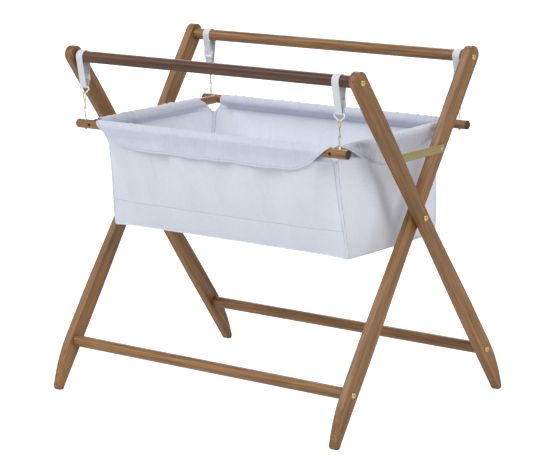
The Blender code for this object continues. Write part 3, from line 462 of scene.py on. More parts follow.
def make_bolt(node, body, shank):
    """Head, socket and shank in one profile: the dome is a quarter of an ellipse, and the socket's
    radius at each angle is its flat distance over the cosine of the angle from the flat."""
    low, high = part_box(node)
    middle = (low + high) / 2
    outward = 1.0 if middle.x > 0 else -1.0
    face = (high.x if outward > 0 else low.x) - outward * BOLT_HEAD_HEIGHT
    angle = np.linspace(0, 2 * math.pi, BOLT_SIDES, endpoint=False)
    flats = 1 / np.cos((angle + math.pi / 6) % (math.pi / 3) - math.pi / 6)
    roll = np.linspace(math.pi / 2, 0, 10)
    dome_radius = BOLT_HEAD_RADIUS * (0.5 + 0.5 * np.cos(roll))
    dome_height = BOLT_HEAD_HEIGHT * (0.22 + 0.78 * np.sin(roll))
    socket_floor, shank_end = BOLT_HEAD_HEIGHT - SOCKET_DEPTH, BOLT_HEAD_HEIGHT - (high.x - low.x)
    profile = [(socket_floor, 0.0), (socket_floor, SOCKET_RADIUS),
               (BOLT_HEAD_HEIGHT - 0.0002, SOCKET_RADIUS), (BOLT_HEAD_HEIGHT, SOCKET_RADIUS + 0.0003)]
    profile += [*zip(dome_height, dome_radius)]
    profile += [(0.0, BOLT_HEAD_RADIUS), (0.0, shank), (shank_end, shank), (shank_end, 0.0)]
    stretch = np.ones((len(profile), BOLT_SIDES))
    stretch[1:3] = flats
    piece = turned(node + "_metal", (face, middle.y, middle.z), (outward, 0, 0), profile, BOLT_SIDES,
                   stretch=stretch)
    piece.data.set_sharp_from_angle(angle=math.radians(38.0))
    fit_piece(piece, body, brass, "brass", node)


for frame_name in ("frame_a", "frame_b"):
    for place in ("outer_top", "outer_bottom", "inner_top", "inner_bottom"):
        make_bolt(f"{frame_name}_{place}_bolt", frame_name, BOLT_SHANK)
make_bolt("right_pivot_bolt", "frame_a", PIVOT_SHANK)
make_bolt("left_pivot_bolt", "frame_b", PIVOT_SHANK)

# ---- lock bars and small pins --------------------------------------------------------------------
# A flat strip of satin brass on each side turns on its rivet, and its notch drops over a catch pin.
# The rivets, the pins and the board are plain CAD shapes with their edges broken; the blackened steel is
# for the end screws below.
EDGE_BREAK = 0.00025
BOARD_EDGE_BREAK = 0.0006

bar_brass = new_finish("satin_brass_strip", Metallic=1.0, Anisotropic=0.4)
mottle(bar_brass, (900.0, 22.0, 900.0), (0.46, 0.385, 0.19, 1.0), (0.33, 0.27, 0.13, 1.0),
       gloss=(0.34, 0.50), detail=4.0)
black_steel = new_finish("blackened_steel", Metallic=0.9)
mottle(black_steel, (600.0, 600.0, 600.0), (0.018, 0.016, 0.016, 1.0), (0.09, 0.08, 0.075, 1.0),
       mixed=(0.55, 0.75), gloss=(0.55, 0.36), detail=4.0)
board_finish = new_finish("raw_hardboard", Roughness=0.85)
fibres = mottle(board_finish, (350.0, 350.0, 350.0), (0.17, 0.085, 0.038, 1.0),
                (0.27, 0.150, 0.075, 1.0), mixed=(0.35, 0.65), detail=6.0, roughness=0.7)
emboss(board_finish, fibres, 0.2, 0.0002)


def break_edges(node, name, body, material, slot, width=EDGE_BREAK):
    """A copy of a CAD node's mesh, merged, with its sharp edges broken by a small bevel."""
    mesh = frame["nodes"][node].data.copy()
    shape = bmesh.new()
    shape.from_mesh(mesh)
    bmesh.ops.remove_doubles(shape, verts=shape.verts, dist=1e-6)
    bmesh.ops.dissolve_limit(shape, angle_limit=math.radians(1.0), verts=shape.verts, edges=shape.edges)
    shape.to_mesh(mesh)
    shape.free()
    mesh.shade_smooth()
    mesh.set_sharp_from_angle(angle=math.radians(35.0))
    piece = bpy.data.objects.new(name, mesh)
    scene.collection.objects.link(piece)
    bevel = piece.modifiers.new("broken_edges", "BEVEL")
    bevel.width = width
    bevel.segments = 2
    bevel.limit_method = "ANGLE"
    bevel.angle_limit = math.radians(50.0)
    fit_piece(piece, body, material, slot, node)


for side, pin_body, rivet_body in (("right", "frame_a", "frame_b"), ("left", "frame_b", "frame_a")):
    break_edges(f"{side}_lock_bar", f"{side}_lock_strip", f"{side}_lock_bar", bar_brass, "brass_bar")
    break_edges(f"{side}_lock_rivet", f"{side}_lock_rivet_head", rivet_body, brass, "brass")
    break_edges(f"{side}_catch_pin", f"{side}_catch_stud", pin_body, brass, "brass")
break_edges("base_board", "base_sheet", "basket", board_finish, "hardboard", BOARD_EDGE_BREAK)

# ---- end screws ----------------------------------------------------------------------------------
# Blackened barrel-headed screws join each dowel to the end rails. The head's face follows the round
# of the dowel and stands just proud of it, with a shallow dish for the driver.
SCREW_HEAD_RADIUS = 0.0038
SCREW_PROUD = 0.0005
SCREW_DISH = 0.0004


def make_end_screw(node):
    """Rings out from the screw's axis lie on the dowel's round: a ring's point at height h off the
    axis lies sqrt(radius^2 - h^2) out, plus the head's own dished profile."""
    low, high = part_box(node)
    dowel_low, dowel_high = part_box("front_dowel" if low.y < 0 else "rear_dowel")
    middle = (dowel_low + dowel_high) / 2
    radius = (dowel_high.z - dowel_low.z) / 2
    outward = -1.0 if low.y < 0 else 1.0
    centre_x = (low.x + high.x) / 2
    rings = np.array([(0.0, SCREW_PROUD - SCREW_DISH), (0.0014, SCREW_PROUD - SCREW_DISH),
                      (0.0018, SCREW_PROUD), (0.0034, SCREW_PROUD), (SCREW_HEAD_RADIUS, SCREW_PROUD / 2),
                      (SCREW_HEAD_RADIUS, -0.002), (0.0, -0.002)])
    angle = np.linspace(0, 2 * math.pi, 48, endpoint=False)
    x = centre_x + rings[:, :1] * np.cos(angle)
    height = rings[:, :1] * np.sin(angle)
    y = middle.y + outward * (np.sqrt(radius ** 2 - height ** 2) + rings[:, 1:])
    piece = lattice(node + "_head", np.stack([x, y, middle.z + height], -1), close_columns=True)
    piece.data.set_sharp_from_angle(angle=math.radians(40.0))
    fit_piece(piece, "basket", black_steel, "dark_screw", node)


for row in ("front", "rear"):
    for hand in ("left", "right"):
        make_end_screw(f"{row}_{hand}_end_screw")

# ---- hanger straps -------------------------------------------------------------------------------
# Each hanger is a loop of white woven tape over the top rail and under the straight bar of a ring.
# Its run on the basket side is doubled back through the adjuster and sewn down above the ring.
STRAP_WIDTH = 0.020
STRAP_THICK = 0.0016
STRAP_EDGE = 0.0006
RING_WIRE = 0.0018
STRAP_PLAY = 0.0003
TAIL_DROP = 0.012             # the doubled tape starts this far above the slider's middle
STITCH_LENGTH = 0.0022
STITCH_GAP = 0.0009
STITCH_RADIUS = 0.00035
STITCH_ROWS = (0.004, 0.0075)         # above the ring's bar

webbing = new_finish("white_webbing", Roughness=0.82, Sheen_Weight=0.25, Sheen_Roughness=0.4)
cloth = add_node(webbing, "ShaderNodeAttribute", attribute_name="cloth").outputs["Vector"]


def plain_weave(material, vector, pitch):
    """Height of a plain weave: the product of two sines, one along each set of threads."""
    parts = add_node(material, "ShaderNodeSeparateXYZ", {"Vector": vector})
    waves = []
    for part in (parts.outputs[0], parts.outputs[1]):
        phase = add_node(material, "ShaderNodeMath", {0: part, 1: math.pi / pitch},
                         operation="MULTIPLY").outputs[0]
        waves.append(add_node(material, "ShaderNodeMath", {0: phase}, operation="SINE").outputs[0])
    return add_node(material, "ShaderNodeMath", {0: waves[0], 1: waves[1]},
                    operation="MULTIPLY").outputs[0]


tape_weave = plain_weave(webbing, cloth, 0.0011)
feed(webbing, "Base Color", blend_colour(webbing, spread(webbing, tape_weave, -1.0, 1.0),
                                         (0.60, 0.62, 0.68, 1.0), (0.74, 0.76, 0.81, 1.0)))
emboss(webbing, tape_weave, 0.45, 0.0003)


def belt(circles, steps=18):
    """A belt drawn tight round circles listed anticlockwise as (centre, radius), as (N, 2) points."""
    normals = []
    for (near, near_radius), (far, far_radius) in zip(circles, circles[1:] + circles[:1]):
        reach = (far[0] - near[0], far[1] - near[1])
        swing = math.acos((near_radius - far_radius) / math.hypot(*reach))
        normals.append(math.atan2(reach[1], reach[0]) - swing)
    pieces = []
    for i, (centre, radius) in enumerate(circles):
        turn = (normals[i] - normals[i - 1]) % (2 * math.pi)
        pieces.append(arc(centre, radius, normals[i - 1], normals[i - 1] + turn, steps))
    return np.concatenate(pieces)


def even_steps(path, step, closed=True):
    """A path's points spaced evenly by arc length, and how far along the path each one lies."""
    if closed:
        path = np.concatenate([path, path[:1]])
    length = np.concatenate([[0.0], np.cumsum(np.linalg.norm(np.diff(path, axis=0), axis=1))])
    stops = np.linspace(0, length[-1], int(length[-1] / step) + 1)
    if closed:
        stops = stops[:-1]
    return np.stack([np.interp(stops, length, path[:, k]) for k in range(path.shape[1])], 1), stops


def rounded_loop(half_a, half_b, radius, steps=5):
    """A rectangle with round corners, as (N, 2) points; columns of sizes give a stack of loops."""
    corners = [arc((sign_a * (half_a - radius), sign_b * (half_b - radius)), radius,
                   k * math.pi / 2, (k + 1) * math.pi / 2, steps)
               for k, (sign_a, sign_b) in enumerate(((1, 1), (-1, 1), (-1, -1), (1, -1)))]
    return np.concatenate(corners, -2)


def gather(name, parts):
    """Join finished lattices into one object."""
    shape = bmesh.new()
    mesh = bpy.data.meshes.new(name)
    for part in parts:
        shape.from_mesh(part.data)
    shape.to_mesh(mesh)
    shape.free()
    mesh.shade_smooth()
    for part in parts:
        bpy.data.objects.remove(part, do_unlink=True)
    made = bpy.data.objects.new(name, mesh)
    scene.collection.objects.link(made)
    return made


def tape(name, path, stops, x, closed):
    """Tape of a rounded oblong section whose middle follows a path in the YZ plane."""
    ahead_y, ahead_z = np.gradient(path[:, 0]), np.gradient(path[:, 1])
    if closed:
        ahead_y = np.roll(path[:, 0], -1) - np.roll(path[:, 0], 1)
        ahead_z = np.roll(path[:, 1], -1) - np.roll(path[:, 1], 1)
    size = np.hypot(ahead_y, ahead_z)
    normal_y, normal_z = ahead_z / size, -ahead_y / size
    section = rounded_loop(STRAP_WIDTH / 2, STRAP_THICK / 2, STRAP_EDGE, 4)
    points = np.stack([np.broadcast_to(x + section[:, 0], (len(path), len(section))),
                       path[:, :1] + normal_y[:, None] * section[:, 1],
                       path[:, 1:] + normal_z[:, None] * section[:, 1]], -1)
    cloth = np.stack([np.broadcast_to(stops[:, None], points.shape[:2]), points[..., 0] - x,
                      np.zeros(points.shape[:2])], -1)
    if not closed:
        middle = np.broadcast_to(points.mean(1, keepdims=True), points.shape)
        points = np.concatenate([middle[:1], points, middle[-1:]])
        cloth = np.concatenate([cloth[:1], cloth, cloth[-1:]])
    return lattice(name, points, close_rows=closed, close_columns=True, marks={"cloth": cloth})


def make_strap(row, hand):
    """The tape's loop, its doubled tail and two rows of stitches across it."""
    node = f"{row}_{hand}_strap"
    low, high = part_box(node)
    ring_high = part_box(f"{row}_{hand}_ring")[1]
    slider_low, slider_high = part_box(f"{row}_{hand}_slider")
    side = -1.0 if row == "front" else 1.0
    x = (low.x + high.x) / 2
    rail = (side * rail_y, rail_z)
    bar = (side * rail_y, ring_high.z - RING_WIRE)
    play = STRAP_PLAY + STRAP_THICK / 2
    path, stops = even_steps(belt([(rail, rail_radius + play), (bar, RING_WIRE + play)], 48), 0.0012)
    parts = [tape(node + "_loop", path, stops, x, True)]
    inner = path[(path[:, 0] - side * rail_y) * side < 0]
    run = inner[(inner[:, 1] < (slider_low.z + slider_high.z) / 2 + TAIL_DROP)
                & (inner[:, 1] > bar[1] + 0.001)]
    run = run[np.argsort(-run[:, 1])]
    outward = -side * (STRAP_THICK + 0.0002)
    tail = run + np.array([outward, 0.0])
    parts.append(tape(node + "_tail", tail, tail[0, 1] - tail[:, 1], x, False))
    profile = [(0.0, 0.0), (0.0003, STITCH_RADIUS), (STITCH_LENGTH - 0.0003, STITCH_RADIUS),
               (STITCH_LENGTH, 0.0)]
    for above_bar in STITCH_ROWS:
        sewn_z = bar[1] + above_bar
        face = np.interp(sewn_z, run[::-1, 1], run[::-1, 0]) + outward - side * STRAP_THICK / 2
        for k in range(6):
            start = x + (k - 2.5) * (STITCH_LENGTH + STITCH_GAP) - STITCH_LENGTH / 2
            parts.append(turned("stitch", (start, face, sewn_z), (1, 0, 0), profile, 8))
    fit_piece(gather(node + "_tape", parts), row + "_hangers", webbing, "webbing", node)


# ---- adjusters and rings -------------------------------------------------------------------------
# The adjuster is a moulded white keeper, ribbed for the thumb, round the strap's basket side. The
# ring is moulded of the same nylon, with a straight bar for the tape and a round bottom.
SLIDER_THICK = 0.0060
SLIDER_EDGE = 0.0012
SLIDER_CORNER = 0.0026
SLIDER_SLOT = (0.0103, 0.0011)
SLIDER_RIB = 0.00045
SLIDER_RIBS = 3.5             # ribs between the middle and the top, in half waves
RING_CORNER = 0.0042
RING_BOTTOM = 0.0062

nylon = new_finish("white_nylon", Roughness=0.26, Subsurface_Weight=0.25, Subsurface_Scale=0.002,
                   Coat_Weight=0.15)
flow = mottle(nylon, (180.0, 180.0, 180.0), (0.86, 0.86, 0.87, 1.0), (0.78, 0.79, 0.80, 1.0),
              mixed=(0.35, 0.7))
emboss(nylon, flow, 0.06, 0.0003)


def make_slider(row, hand):
    """Rounded oblong rings up the slot, over the top, down the ribbed outside and back under."""
    node = f"{row}_{hand}_slider"
    low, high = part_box(node)
    middle = (low + high) / 2
    side = -1.0 if row == "front" else 1.0
    strap_drop = rail_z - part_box(f"{row}_{hand}_ring")[1].z + RING_WIRE
    tilt = math.asin((rail_radius - RING_WIRE) / strap_drop)
    half_height = (high.z - low.z - SLIDER_THICK * math.sin(tilt)) / 2 / math.cos(tilt)
    half_width = (high.x - low.x) / 2
    slot_a, slot_b = SLIDER_SLOT
    flat = half_height - SLIDER_EDGE
    roll = np.linspace(0, math.pi, 9)[1:-1]
    end_a = slot_a + (half_width - slot_a) / 2 * (1 - np.cos(roll))
    end_b = slot_b + (SLIDER_THICK / 2 - slot_b) / 2 * (1 - np.cos(roll))
    end_height = flat + SLIDER_EDGE * np.sin(roll)
    face_height = np.linspace(flat, -flat, 40)
    ribs = SLIDER_RIB * (np.cos(face_height / half_height * SLIDER_RIBS * math.pi) - 1)
    half_a = np.concatenate([[slot_a, slot_a], end_a, np.full(40, half_width), end_a[::-1]])[:, None]
    half_b = np.concatenate([[slot_b, slot_b], end_b, SLIDER_THICK / 2 + ribs, end_b[::-1]])[:, None]
    height = np.concatenate([[-flat, flat], end_height, face_height, -end_height[::-1]])[:, None]
    rings = rounded_loop(half_a, half_b, np.minimum(SLIDER_CORNER, half_b * 0.9), 8)
    out = rings[..., 1]
    y = middle.y + out * math.cos(side * tilt) + height * math.sin(side * tilt)
    z = middle.z + height * math.cos(side * tilt) - out * math.sin(side * tilt)
    piece = lattice(node + "_keeper", np.stack([middle.x + rings[..., 0], y, z], -1),
                    close_rows=True, close_columns=True)
    fit_piece(piece, row + "_hangers", nylon, "white_plastic", node)


def swept(name, path, radius, sideways, closed=False, sides=20, flat=1.0):
    """A round section carried along a flat path; sideways is the normal of the path's plane, and
    flat stretches the section that way. Open ends are closed with half spheres."""
    path, sideways = np.array(path, float), np.array(sideways, float)
    radius = np.broadcast_to(np.asarray(radius, float), (len(path),))
    if not closed:
        cap = np.linspace(math.pi / 2, 0, 6)[:-1]
        start, finish = path[0] - path[1], path[-1] - path[-2]
        start, finish = start / np.linalg.norm(start), finish / np.linalg.norm(finish)
        head = path[0] + start * (radius[0] * np.sin(cap))[:, None]
        tail = path[-1] + finish * (radius[-1] * np.sin(cap[::-1]))[:, None]
        path = np.concatenate([head, path, tail])
        radius = np.concatenate([radius[0] * np.cos(cap), radius, radius[-1] * np.cos(cap[::-1])])
        tangent = np.gradient(path, axis=0)
    else:
        tangent = np.roll(path, -1, 0) - np.roll(path, 1, 0)
    tangent /= np.linalg.norm(tangent, axis=1)[:, None]
    across = np.cross(tangent, sideways)
    angle = np.linspace(0, 2 * math.pi, sides, endpoint=False)
    points = path[:, None] + (radius[:, None] * np.cos(angle))[..., None] * across[:, None] \
        + (radius[:, None] * np.sin(angle) * flat)[..., None] * sideways
    return lattice(name, points, close_rows=closed, close_columns=True)


def make_ring(row, hand):
    """The ring's middle line is a belt round two small corners and the round bottom."""
    node = f"{row}_{hand}_ring"
    low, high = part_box(node)
    middle = (low + high) / 2
    half = (high.x - low.x) / 2 - RING_WIRE - RING_CORNER
    bar_z, bottom_z = high.z - RING_WIRE, low.z + RING_WIRE
    path = belt([((half, bar_z - RING_CORNER), RING_CORNER), ((-half, bar_z - RING_CORNER), RING_CORNER),
                 ((0.0, bottom_z + RING_BOTTOM), RING_BOTTOM)], 14)
    path, _ = even_steps(path, 0.0008)
    points = np.stack([middle.x + path[:, 0], np.full(len(path), middle.y), path[:, 1]], 1)
    piece = swept(node + "_moulding", points, RING_WIRE, (0, 1, 0), closed=True, sides=24)
    fit_piece(piece, row + "_hangers", nylon, "white_plastic", node)


# ---- snap hooks and their gates ------------------------------------------------------------------
# Small cast brass snap hooks: a hook round the ring, a tapered stem and an eye for the wire loop. A
# slim sprung gate on its own pin closes the hook's mouth.
HOOK_BEND = 0.0037
HOOK_ROD = 0.0013
NOSE_ROD = 0.0011
EYE_BEND = 0.0031
EYE_ROD = 0.0009
STEM_ROD = 0.0015
STEM_SWELL = 0.0003
GATE_ROD = 0.00095
GATE_TIP = 0.001
ROD_FLAT = 1.2                # the cast rods are wider across than they are deep


def make_snap(row, hand):
    """The hook's middle line runs from its nose over the ring's wire and down the back to the
    stem; a lug turns up to the gate's pin, and the eye is a closed circle below."""
    node = f"{row}_{hand}_snap_hook"
    low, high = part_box(node)
    ring_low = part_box(f"{row}_{hand}_ring")[0]
    gate_low, gate_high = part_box(f"{row}_{hand}_snap_gate")
    middle, gate_middle = (low + high) / 2, (gate_low + gate_high) / 2
    inward = 1.0 if row == "front" else -1.0
    axis_y = -inward * rail_y
    wire_z = ring_low.z + RING_WIRE
    heel_z = gate_low.z + 2 * GATE_TIP
    eye_z = low.z + EYE_BEND + EYE_ROD
    nose_z = gate_high.z + HOOK_ROD

    def place(flat):
        return np.stack([np.full(len(flat), middle.x), axis_y + inward * flat[:, 0], flat[:, 1]], 1)

    bend = np.concatenate([[(HOOK_BEND, nose_z)], arc((0.0, wire_z), HOOK_BEND, 0.0, math.pi, 20),
                           arc((0.0, heel_z), HOOK_BEND, math.pi, 1.5 * math.pi, 10)])
    stem = np.stack([np.zeros(8), np.linspace(heel_z - HOOK_BEND, eye_z + EYE_BEND, 8)], 1)
    lug = arc((0.0, heel_z), HOOK_BEND, 1.5 * math.pi, 1.96 * math.pi, 8)
    eye = arc((0.0, eye_z), EYE_BEND, 0.0, 2 * math.pi, 29)[:-1]
    stem_rod = STEM_ROD + STEM_SWELL * np.cos(np.linspace(-2.2, 2.2, 8))
    bend_rod = np.linspace(NOSE_ROD, HOOK_ROD, len(bend))
    parts = [swept("bend", place(bend), bend_rod, (1, 0, 0), flat=ROD_FLAT),
             swept("stem", place(stem), stem_rod, (1, 0, 0)),
             swept("lug", place(lug), HOOK_ROD, (1, 0, 0), flat=ROD_FLAT),
             swept("eye", place(eye), EYE_ROD, (1, 0, 0), closed=True, flat=ROD_FLAT)]
    fit_piece(gather(node + "_casting", parts), row + "_hangers", brass, "brass", node)
    rod_z_steps = np.linspace(gate_low.z + GATE_TIP, gate_high.z - GATE_TIP, 6)
    rod = [(gate_middle.x, gate_middle.y, z) for z in rod_z_steps]
    gate = swept(f"{row}_{hand}_gate_tongue", rod, GATE_ROD, (1, 0, 0), flat=ROD_FLAT)
    fit_piece(gate, f"{row}_{hand}_gate", brass, "brass", f"{row}_{hand}_snap_gate")


# ---- wire loops ----------------------------------------------------------------------------------
# A teardrop of bright plated wire closes in a small collar on each dowel. Its shank runs down
# through the dowel and ends in a small round nut.
LOOP_WIRE = 0.0010
COLLAR_RADIUS = 0.0024
COLLAR_HEIGHT = 0.005
SHANK_RADIUS = 0.0016
NUT_RADIUS = 0.0032
NUT_HEIGHT = 0.002

steel = new_finish("bright_wire", Metallic=1.0)
mottle(steel, (500.0, 500.0, 120.0), (0.72, 0.73, 0.75, 1.0), (0.56, 0.57, 0.59, 1.0),
       gloss=(0.14, 0.26))


def make_wire_loop(row, hand):
    """The crown is an arc; each leg comes in from it to the collar on a parabola."""
    node = f"{row}_{hand}_wire_loop"
    low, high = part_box(node)
    dowel_low, dowel_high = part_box(row + "_dowel")
    middle = (low + high) / 2
    crown = (high.x - low.x) / 2 - LOOP_WIRE
    centre_z = high.z - LOOP_WIRE - crown
    collar_top = dowel_high.z + COLLAR_HEIGHT
    start = -math.radians(12.0)
    top = arc((0.0, centre_z), crown, start, math.pi - start, 24)
    t = np.linspace(0, 1, 16)[:-1, None]
    foot = np.array([LOOP_WIRE * 1.1, collar_top - COLLAR_HEIGHT / 2])
    bend = np.array([LOOP_WIRE * 1.3, (centre_z + collar_top) / 2])
    rise = (1 - t) ** 2 * foot + 2 * t * (1 - t) * bend + t ** 2 * top[0]
    path = np.concatenate([rise, top, (rise * [-1, 1])[::-1]])
    points = np.stack([middle.x + path[:, 0], np.full(len(path), middle.y), path[:, 1]], 1)
    nut_top = dowel_low.z - 0.0003
    profile = [(collar_top, 0.0), (collar_top, COLLAR_RADIUS * 0.8), (collar_top - 0.0005, COLLAR_RADIUS),
               (dowel_high.z + 0.0005, COLLAR_RADIUS), (dowel_high.z - 0.0003, COLLAR_RADIUS * 1.25),
               (dowel_high.z - 0.0003, SHANK_RADIUS), (nut_top, SHANK_RADIUS), (nut_top, NUT_RADIUS),
               (nut_top - NUT_HEIGHT, NUT_RADIUS), (low.z, 0.0024), (low.z, 0.0)]
    parts = [swept("wire", points, LOOP_WIRE, (0, 1, 0)),
             turned("shank", (middle.x, middle.y, 0.0), (0, 0, 1), profile, 32)]
    piece = gather(node + "_wire", parts)
    piece.data.set_sharp_from_angle(angle=math.radians(45.0))
    fit_piece(piece, "basket", steel, "steel_wire", node)


for row in ("front", "rear"):
    for hand in ("left", "right"):
        make_strap(row, hand)
        make_slider(row, hand)
        make_ring(row, hand)
        make_snap(row, hand)
        make_wire_loop(row, hand)

# ---- fabric bag ----------------------------------------------------------------------------------
# The bag is sewn from five panels of fine white cotton. Each side panel is one cloth: it rises from
# the bottom seam, is sewn into a casing round its dowel or rail and hangs over it as a flap, with
# rounded ends and a turned hem. Piping covers the corner seams and the bottom seam.
CLOTH_THICK = 0.0010
CLOTH_PLAY = 0.0007           # between the wood and the cloth
SEW_OUT, SEW_DROP = 0.0072, 0.0225    # the casing's stitch line, from the rod's axis
LAYER_GAP = 0.0014            # between the middles of the two layers at the stitch line
HEM_OUT = 0.0048
HEM_WIDTH = 0.0060
BOTTOM_Z = 0.4090
BOTTOM_HALF_LENGTH = 0.357
BOTTOM_HALF_WIDTH = 0.173
CORNER_TOP_X, CORNER_TOP_Y = 0.3485, 0.2000
CORNER_DROOP = 0.0038
END_SAG = 0.0016
LOW_SEAM_Z = 0.470
PIPING_RADIUS = 0.0018
KEYHOLE = (0.012, 0.036)      # the corner's opening, from below to above the stitch line
# each casing's ends along its rod, and at each end where the flap's scoop starts and how it eases
LONG_SPAN, LONG_SCOOP = (-0.346, 0.361), ((0.190, 2.8), (0.245, 1.6))
END_SPAN, END_SCOOP = (-0.210, 0.158), ((0.080, 1.1), (0.060, 2.2))
FLAP_HEM_Z = 0.6100
HEM_WAVE, HEM_STEP, HEM_STITCH_IN = 0.0045, 0.0007, 0.0008
RUFFLE, SWAY = 0.030, 0.010   # shares of the folds' own height that the gathers and the flap take
BUNCH_HEIGHT, BUNCH_PITCH = 0.00085, 0.0085   # tight pleats near one end of each flap
BUNCH_FROM_END, BUNCH_REACH = 0.085, 0.040
CORNER_STITCH_IN = 0.0036
WALL_BELLY = 0.0030
WALL_STEPS, OVER_STEPS = 60, 80
COLUMNS, FLAP_ROWS = 301, 59

dowel_low, dowel_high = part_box("front_dowel")
end_low, end_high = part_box("right_end_rail")
rod_y = -(dowel_low.y + dowel_high.y) / 2
rod_x = (end_low.x + end_high.x) / 2
rod_z = (dowel_low.z + dowel_high.z) / 2
rod_radius = (dowel_high.z - dowel_low.z) / 2

cotton = new_finish("white_cotton", Roughness=0.9, Sheen_Weight=0.12, Sheen_Roughness=0.5,
                    Specular_IOR_Level=0.2, Subsurface_Weight=0.3, Subsurface_Scale=0.003,
                    Subsurface_Radius=(1.0, 1.0, 1.0))
cotton_cloth = add_node(cotton, "ShaderNodeAttribute", attribute_name="cloth").outputs["Vector"]
cotton_seams = add_node(cotton, "ShaderNodeAttribute", attribute_name="seams").outputs["Vector"]
crinkle_and_shade = add_node(cotton, "ShaderNodeAttribute", attribute_name="gather").outputs["Fac"]
slubs = streaks(cotton, cotton_cloth, (60.0, 1100.0, 1.0), 3.0)
cross_slubs = streaks(cotton, cotton_cloth, (1100.0, 60.0, 1.0), 3.0)
soft_patches = streaks(cotton, cotton_cloth, (9.0, 9.0, 9.0), 3.0)
cotton_tone = blend_colour(cotton, spread(cotton, slubs, 0.3, 0.7), (0.665, 0.698, 0.790, 1.0),
                           (0.720, 0.750, 0.835, 1.0))
for shade in (spread(cotton, cross_slubs, 0.3, 0.7, 0.96, 1.02),
              spread(cotton, soft_patches, 0.3, 0.7, 0.965, 1.02)):
    cotton_tone = blend_colour(cotton, 1.0, cotton_tone, shade, "MULTIPLY")
# Painted shade: over the casing and the flap, where the gather mark is 1, the cloth's colour goes up to
# 0.6 of the way to a darker blue-grey, so that they look shaded against the wall.
cotton_tone = blend_colour(cotton, spread(cotton, crinkle_and_shade, 0.0, 1.0, 0.0, 0.6), cotton_tone,
                           (0.620, 0.640, 0.790, 1.0))
seam_parts = add_node(cotton, "ShaderNodeSeparateXYZ", {"Vector": cotton_seams})
thread_run = add_node(cotton, "ShaderNodeSeparateXYZ", {"Vector": cotton_cloth}).outputs[0]


def stitch_line(material, distance, along, width=0.0009, pitch=0.0026):
    """1 on the stitches of a line: within half a width of it, and on three quarters of each pitch."""
    near = add_node(material, "ShaderNodeMath", {0: distance}, operation="ABSOLUTE").outputs[0]
    line = spread(material, near, width, width * 0.5)
    phase = add_node(material, "ShaderNodeMath", {0: along, 1: pitch}, operation="PINGPONG").outputs[0]
    return add_node(material, "ShaderNodeMath",
                    {0: line, 1: spread(material, phase, pitch * 0.15, pitch * 0.3)},
                    operation="MULTIPLY").outputs[0]


stitches = stitch_line(cotton, seam_parts.outputs[0], thread_run)
for part in (seam_parts.outputs[1], seam_parts.outputs[2]):
    more = stitch_line(cotton, part, thread_run)
    stitches = add_node(cotton, "ShaderNodeMath", {0: stitches, 1: more}, operation="MAXIMUM").outputs[0]
cotton_tone = blend_colour(cotton, stitches, cotton_tone, (0.42, 0.45, 0.60, 1.0))
feed(cotton, "Base Color", cotton_tone)
weave_relief = emboss(cotton, plain_weave(cotton, cotton_cloth, 0.00045), 0.22, 0.00012)
crumple = streaks(cotton, cotton_cloth, (75.0, 22.0, 1.0), 4.0)
crumple_relief = emboss(cotton, crumple, 0.50, 0.0026, weave_relief)
crinkle = streaks(cotton, cotton_cloth, (260.0, 55.0, 1.0), 4.0, 0.6)
crinkled = add_node(cotton, "ShaderNodeMath", {0: crinkle, 1: crinkle_and_shade}, operation="MULTIPLY").outputs[0]
emboss(cotton, crinkled, 1.0, 0.0034, crumple_relief)


def rise_share(value, low, high):
    """0 below low and 1 above high, with a smooth cubic between."""
    t = np.clip((value - low) / (high - low), 0.0, 1.0)
    return t * t * (3 - 2 * t)


def casing_section(tuck):
    """A side panel's section as (out, up) from the rod's axis, with its length at each stage.

    The wall is a line from the bottom seam to the stitch line below the rod. From there the cloth
    runs straight to the rod's round, over it to the outer tangent, down past the stitch line and
    on below the lowest hem. tuck is how far the bottom seam lies inside the rod.
    """
    radius = rod_radius + CLOTH_PLAY + CLOTH_THICK / 2
    foot = np.array([-tuck, BOTTOM_Z - rod_z])
    sew, out_sew = np.array([SEW_OUT - LAYER_GAP, -SEW_DROP]), np.array([SEW_OUT, -SEW_DROP])
    inner = math.atan2(sew[1], sew[0]) + 2 * math.pi - math.acos(radius / math.hypot(*sew))
    outer = math.atan2(out_sew[1], out_sew[0]) + math.acos(radius / math.hypot(*out_sew))
    over = arc((0.0, 0.0), radius, inner, outer, OVER_STEPS)
    wall = foot + (sew - foot) * np.linspace(0, 1, WALL_STEPS)[:, None]
    hem = np.array([HEM_OUT, FLAP_HEM_Z - rod_z - 0.006])
    fall = out_sew + (hem - out_sew) * np.linspace(0, 1, 20)[1:, None]
    path = np.concatenate([wall, over, out_sew[None], fall])
    length = np.concatenate([[0.0], np.cumsum(np.linalg.norm(np.diff(path, axis=0), axis=1))])
    crest = WALL_STEPS + int(np.argmax(over[:, 1]))
    return path, length, (length[WALL_STEPS - 1], length[crest], length[WALL_STEPS + OVER_STEPS])


def folds(along, up, seed, count=9, widest=0.16, narrowest=0.03, slope=0.35):
    """Soft folds: waves of falling width, each leaning a little its own way."""
    luck = np.random.default_rng(seed)
    total = np.zeros(np.broadcast(along, up).shape)
    for width in np.geomspace(widest, narrowest, count):
        slant, phase = luck.uniform(-slope, slope), luck.uniform(0, 2 * math.pi)
        total = total + luck.uniform(0.4, 1.0) * width * np.sin(
            2 * math.pi * (along + slant * up) / width + phase)
    return total


def crease(along, up, start, end, width, depth):
    """A soft crease along a line: a bell across it, fading to nothing at both of its ends."""
    way = np.array(end) - np.array(start)
    share = ((along - start[0]) * way[0] + (up - start[1]) * way[1]) / (way @ way)
    off = (along - start[0]) * way[1] - (up - start[1]) * way[0]
    fade = np.sin(math.pi * np.clip(share, 0, 1)) ** 0.7
    return depth * fade * np.exp(-(off / math.hypot(*way) / width) ** 2)


